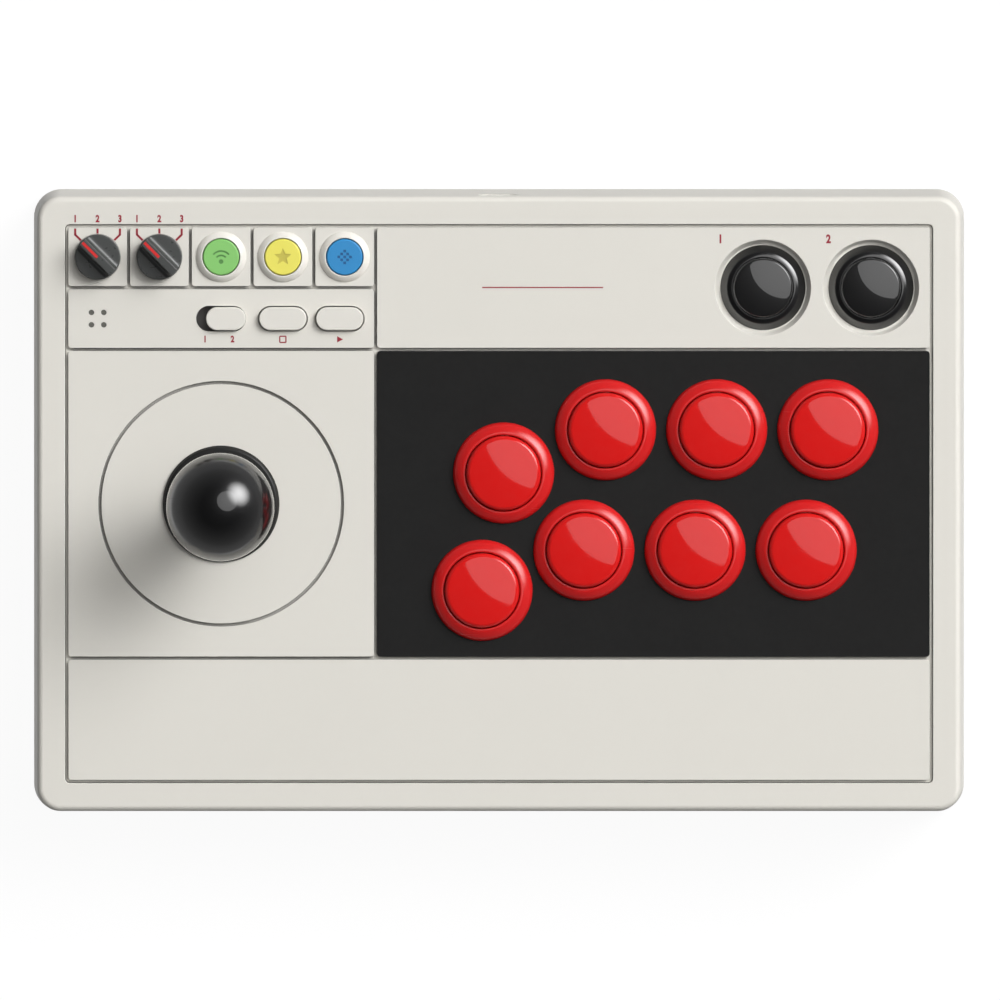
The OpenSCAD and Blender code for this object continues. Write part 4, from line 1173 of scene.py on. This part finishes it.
# %% Marks on the face
bm = bmesh.new()
stop_x, stop_y, line_top, number_y = 7.25, 7.2, 9.2, 11.2
inner_end, line_gap = 5.4, 0.1
dial_h, slide_h, button_h = 2.4, 2.2, 2.9
label_drop, head_y, head_left, head_right = 7.7, 70.1, 22.4, 16.8
for name in knob_names:
    centre = centre_of(name) / MM
    top = centre.y + line_top
    ink_line(bm, (centre.x, top), (centre.x, centre.y + knob_r + line_gap), mark_w)
    for side in (-1, 1):
        bend = (centre.x + side * stop_x, centre.y + stop_y)
        ink_line(bm, (bend[0], top), (bend[0], bend[1] - 0.2), mark_w)
        ink_line(bm, bend, (centre.x + side * inner_end, centre.y + inner_end), mark_w)
    for position, shift in enumerate((-stop_x, 0.0, stop_x), start=1):
        ink_text(bm, str(position), centre.x + shift, centre.y + number_y, dial_h)
slider_mid = slot_x / MM - slide_offset
label_y = centre_of("select_key").y / MM - label_drop
for text, shift in (("1", -5.2), ("2", 3.7)):
    ink_text(bm, text, slider_mid + shift, label_y, slide_h)
select_mid = centre_of("select_key").x / MM
start_mid = centre_of("start_key").x / MM
square = [(select_mid + x, label_y + y) for x, y in ((-1, 0), (1, 0), (1, 2), (-1, 2))]
for foot, head in zip(square, square[1:] + square[:1]):
    ink_line(bm, foot, head, fine_w)
triangle = [(start_mid + x, label_y + y) for x, y in ((-0.8, 0.0), (1.1, 1.0), (-0.8, 2.0))]
prism(bm, triangle, face_z, face_z + ink)
for number, name in enumerate(macro_names, start=1):
    centre = centre_of(name) / MM
    ink_text(bm, str(number), centre.x - 13.8, centre.y + 14.4, button_h)
head_mid = (centre_of("start_key").x + centre_of("macro_plunger_1").x) / 2 / MM
ink_line(bm, (head_mid - head_left, head_y), (head_mid + head_right, head_y), fine_w)
bmesh.ops.recalc_face_normals(bm, faces=bm.faces)
add_piece(bm, "printed_marks", "root", "red_body", finish="print_red")

# %% Pointer lines on the selectors
reach, pointer_w = knob_r - 0.7, 0.95
for name in knob_names:
    centre = centre_of(name) / MM
    bm = bmesh.new()
    tip_x = centre.x + math.cos(ridge_turn) * reach
    tip_y = centre.y + math.sin(ridge_turn) * reach
    ink_line(bm, (centre.x, centre.y), (tip_x, tip_y), pointer_w, knob_high)
    add_piece(bm, name + "_pointer", name, "red_plunger", finish="red_body")

# %% [markdown]
# ## Feet
#
# Under the base are four long rubber feet. A foot is a stadium block with soft edges, moulded
# in rubber with a coarse matt grain.


# %% Rubber feet
low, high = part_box("rubber_feet")
foot_len, foot_wide, foot_edge = 50.0, 12.0, 0.8
bm = bmesh.new()
for x in (low.x + foot_len / 2 * MM, high.x - foot_len / 2 * MM):
    for y in (low.y + foot_wide / 2 * MM, high.y - foot_wide / 2 * MM):
        rounded_block(
            bm, Vector((x, y, 0)), foot_len, foot_wide, foot_wide / 2 - corner_slack,
            low.z / MM, high.z / MM, 0.0, foot_edge,
        )
bmesh.ops.recalc_face_normals(bm, faces=bm.faces)
add_piece(bm, "soft_feet", "root", "foot_rubber", ["rubber_feet"])

# %% [markdown]
# ## Pieces inside
#
# Boards, switches, springs and cables keep their frame meshes. Each takes the finish that its
# slot in the record names, so nothing inside is left plain.


# %% Finishes for the nodes that stay
kept = 0
for name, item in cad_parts.items():
    item.material_slots[0].material = finishes[slot_of(item)]
    kept += not item.hide_render
print(kept, "nodes keep their own mesh")

# %% [markdown]
# ## Studio
#
# The object stands on a white floor under two soft lamps. The main one comes from the rear
# right, 50 degrees from overhead, and fades towards its edge, so its reflection is a soft glow.
# The other is a round softbox nearly overhead with a clear edge: the crisp shapes on the
# buttons and the ball are its reflection. Both are discs that glow, hidden from the camera, and
# transparent, so that one can be seen through the other. A dim grey world fills the shadows.


# %% Lamps
def lamp_disc(name, zenith, azimuth, distance, spread, strength, fading):
    """A glowing disc aimed at the middle of the face; angles are in degrees."""
    z, a = math.radians(zenith), math.radians(azimuth)
    way = Vector((math.sin(z) * math.cos(a), math.sin(z) * math.sin(a), math.cos(z)))
    radius = distance * math.tan(math.radians(spread))
    bm = bmesh.new()
    bmesh.ops.create_circle(bm, cap_ends=True, segments=96, radius=radius)
    mesh = bpy.data.meshes.new(name)
    bm.to_mesh(mesh)
    bm.free()
    disc = bpy.data.objects.new(name, mesh)
    bpy.context.scene.collection.objects.link(disc)
    disc.location = way * distance + Vector((0, 0, face_z * MM))
    disc.rotation_euler = way.to_track_quat("Z", "Y").to_euler()
    material = bpy.data.materials.new(name)
    material.use_nodes = True
    tree = material.node_tree
    tree.nodes.clear()
    glow = node(tree, "ShaderNodeEmission", strength=strength)
    clear = node(tree, "ShaderNodeBsdfTransparent")
    both = node(tree, "ShaderNodeAddShader")
    end = node(tree, "ShaderNodeOutputMaterial")
    tree.links.new(glow.outputs[0], both.inputs[0])
    tree.links.new(clear.outputs[0], both.inputs[1])
    tree.links.new(both.outputs[0], end.inputs["Surface"])
    if fading:
        place = node(tree, "ShaderNodeTexCoord")
        reach = node(tree, "ShaderNodeVectorMath", operation="LENGTH")
        tree.links.new(place.outputs["Object"], reach.inputs[0])
        share = math_node(tree, "DIVIDE", reach.outputs["Value"], radius)
        left = math_node(tree, "SUBTRACT", 1.0, math_node(tree, "MULTIPLY", share, share))
        fade = math_node(tree, "MULTIPLY", left, left)
        tree.links.new(math_node(tree, "MULTIPLY", fade, strength), glow.inputs["Strength"])
    mesh.materials.append(material)
    disc.visible_camera = False
    disc.visible_shadow = False


lamp_disc("main_lamp", 50.5, 37, 8.0, 29.0, 11.8, True)
lamp_disc("overhead_softbox", 20.5, 45, 8.0, 21.5, 1.5, False)

# %% [markdown]
# The camera sees a white floor that still takes the object's shadow. Reflections and clear
# materials see it too, as a white table that ends a hand's width beyond the case, in a room
# that darkens upward. Light that bounces from the floor is much dimmer, so the shaded walls of
# the case keep their form. Seen from below, the floor is clear.


# %% Floor and world
table_from, table_to = 0.21, 0.26
table_shine, floor_shine = 0.9, 0.94
bounce_grey, shadow_grey = (0.12, 0.12, 0.12, 1.0), (0.08, 0.08, 0.08, 1.0)
room_low, room_high, room_top, ambient = 0.28, 0.02, 0.75, 0.17
floor_half = 12.0


def ray_kinds(tree):
    """Two masks: 1 for camera rays, and 1 for the rays of reflections and clear materials."""
    path = node(tree, "ShaderNodeLightPath").outputs
    mirrored = math_node(tree, "MAXIMUM", path["Is Glossy Ray"], path["Is Transmission Ray"])
    return path["Is Camera Ray"], mirrored


bm = bmesh.new()
bmesh.ops.create_grid(bm, x_segments=1, y_segments=1, size=floor_half)
floor_mesh = bpy.data.meshes.new("floor")
bm.to_mesh(floor_mesh)
bm.free()
floor = bpy.data.objects.new("floor", floor_mesh)
bpy.context.scene.collection.objects.link(floor)
floor_material = bpy.data.materials.new("floor")
floor_material.use_nodes = True
tree = floor_material.node_tree
tree.nodes.clear()
bounce = node(tree, "ShaderNodeBsdfDiffuse", color=bounce_grey)
shadowed = node(tree, "ShaderNodeBsdfDiffuse", color=shadow_grey)
white = node(tree, "ShaderNodeEmission")
shown = node(tree, "ShaderNodeAddShader")
choose = node(tree, "ShaderNodeMixShader")
side = node(tree, "ShaderNodeNewGeometry")
clear = node(tree, "ShaderNodeBsdfTransparent")
from_below = node(tree, "ShaderNodeMixShader")
end = node(tree, "ShaderNodeOutputMaterial")
place = node(tree, "ShaderNodeTexCoord")
reach = node(tree, "ShaderNodeVectorMath", operation="LENGTH")
table = node(
    tree, "ShaderNodeMapRange",
    from_min=table_from, from_max=table_to, to_min=table_shine, to_max=room_low,
)
by_camera, by_mirror = ray_kinds(tree)
tree.links.new(place.outputs["Object"], reach.inputs[0])
tree.links.new(reach.outputs["Value"], table.inputs["Value"])
floor_seen = math_node(tree, "MULTIPLY", by_camera, floor_shine)
brighter = math_node(tree, "MAXIMUM", floor_seen, table.outputs[0])
tree.links.new(brighter, white.inputs["Strength"])
tree.links.new(shadowed.outputs[0], shown.inputs[0])
tree.links.new(white.outputs[0], shown.inputs[1])
tree.links.new(math_node(tree, "MAXIMUM", by_camera, by_mirror), choose.inputs["Fac"])
tree.links.new(bounce.outputs[0], choose.inputs[1])
tree.links.new(shown.outputs[0], choose.inputs[2])
tree.links.new(side.outputs["Backfacing"], from_below.inputs["Fac"])
tree.links.new(choose.outputs[0], from_below.inputs[1])
tree.links.new(clear.outputs[0], from_below.inputs[2])
tree.links.new(from_below.outputs[0], end.inputs["Surface"])
floor_material.cycles.emission_sampling = "NONE"
floor_mesh.materials.append(floor_material)

world = bpy.data.worlds.new("studio")
bpy.context.scene.world = world
world.use_nodes = True
tree = world.node_tree
backdrop = tree.nodes["Background"]
backdrop.inputs["Color"].default_value = (1.0, 1.0, 1.0, 1.0)
way = node(tree, "ShaderNodeTexCoord")
height = node(tree, "ShaderNodeSeparateXYZ")
room = node(
    tree, "ShaderNodeMapRange",
    from_min=0.0, from_max=room_top, to_min=room_low, to_max=room_high,
)
tree.links.new(way.outputs["Generated"], height.inputs[0])
tree.links.new(height.outputs["Z"], room.inputs["Value"])
by_camera, by_mirror = ray_kinds(tree)
mirrored_part = math_node(tree, "MULTIPLY", room.outputs[0], by_mirror)
seen = math_node(tree, "MAXIMUM", by_camera, by_mirror)
hidden_part = math_node(tree, "MULTIPLY", math_node(tree, "SUBTRACT", 1.0, seen), ambient)
other_part = math_node(tree, "ADD", mirrored_part, hidden_part)
tree.links.new(math_node(tree, "ADD", by_camera, other_part), backdrop.inputs["Strength"])

# %% [markdown]
# ## Camera
#
# The view is from above, with a very long lens, so that the panel keeps its true proportions.
# The camera leans a degree and a half to the rear, enough to show the rear wall as a thin band.
# The picture is as wide as the object and a narrow margin.


# %% Camera and view settings
view_w = 0.3239
lean = math.radians(1.4)
aim = Vector((0.00033, 0.00125, face_z * MM))
eye = bpy.data.cameras.new("camera")
eye.lens, eye.sensor_width = 1600.0, 36.0
distance = view_w * eye.lens / eye.sensor_width
eye.clip_start, eye.clip_end = 0.5, 40.0
camera = bpy.data.objects.new("camera", eye)
bpy.context.scene.collection.objects.link(camera)
camera.location = aim + Vector((0, math.sin(lean), math.cos(lean))) * distance
camera.rotation_euler = (-lean, 0, 0)
bpy.context.scene.camera = camera
bpy.context.scene.view_settings.view_transform = "Standard"
print("camera", round(distance, 2), "m away")
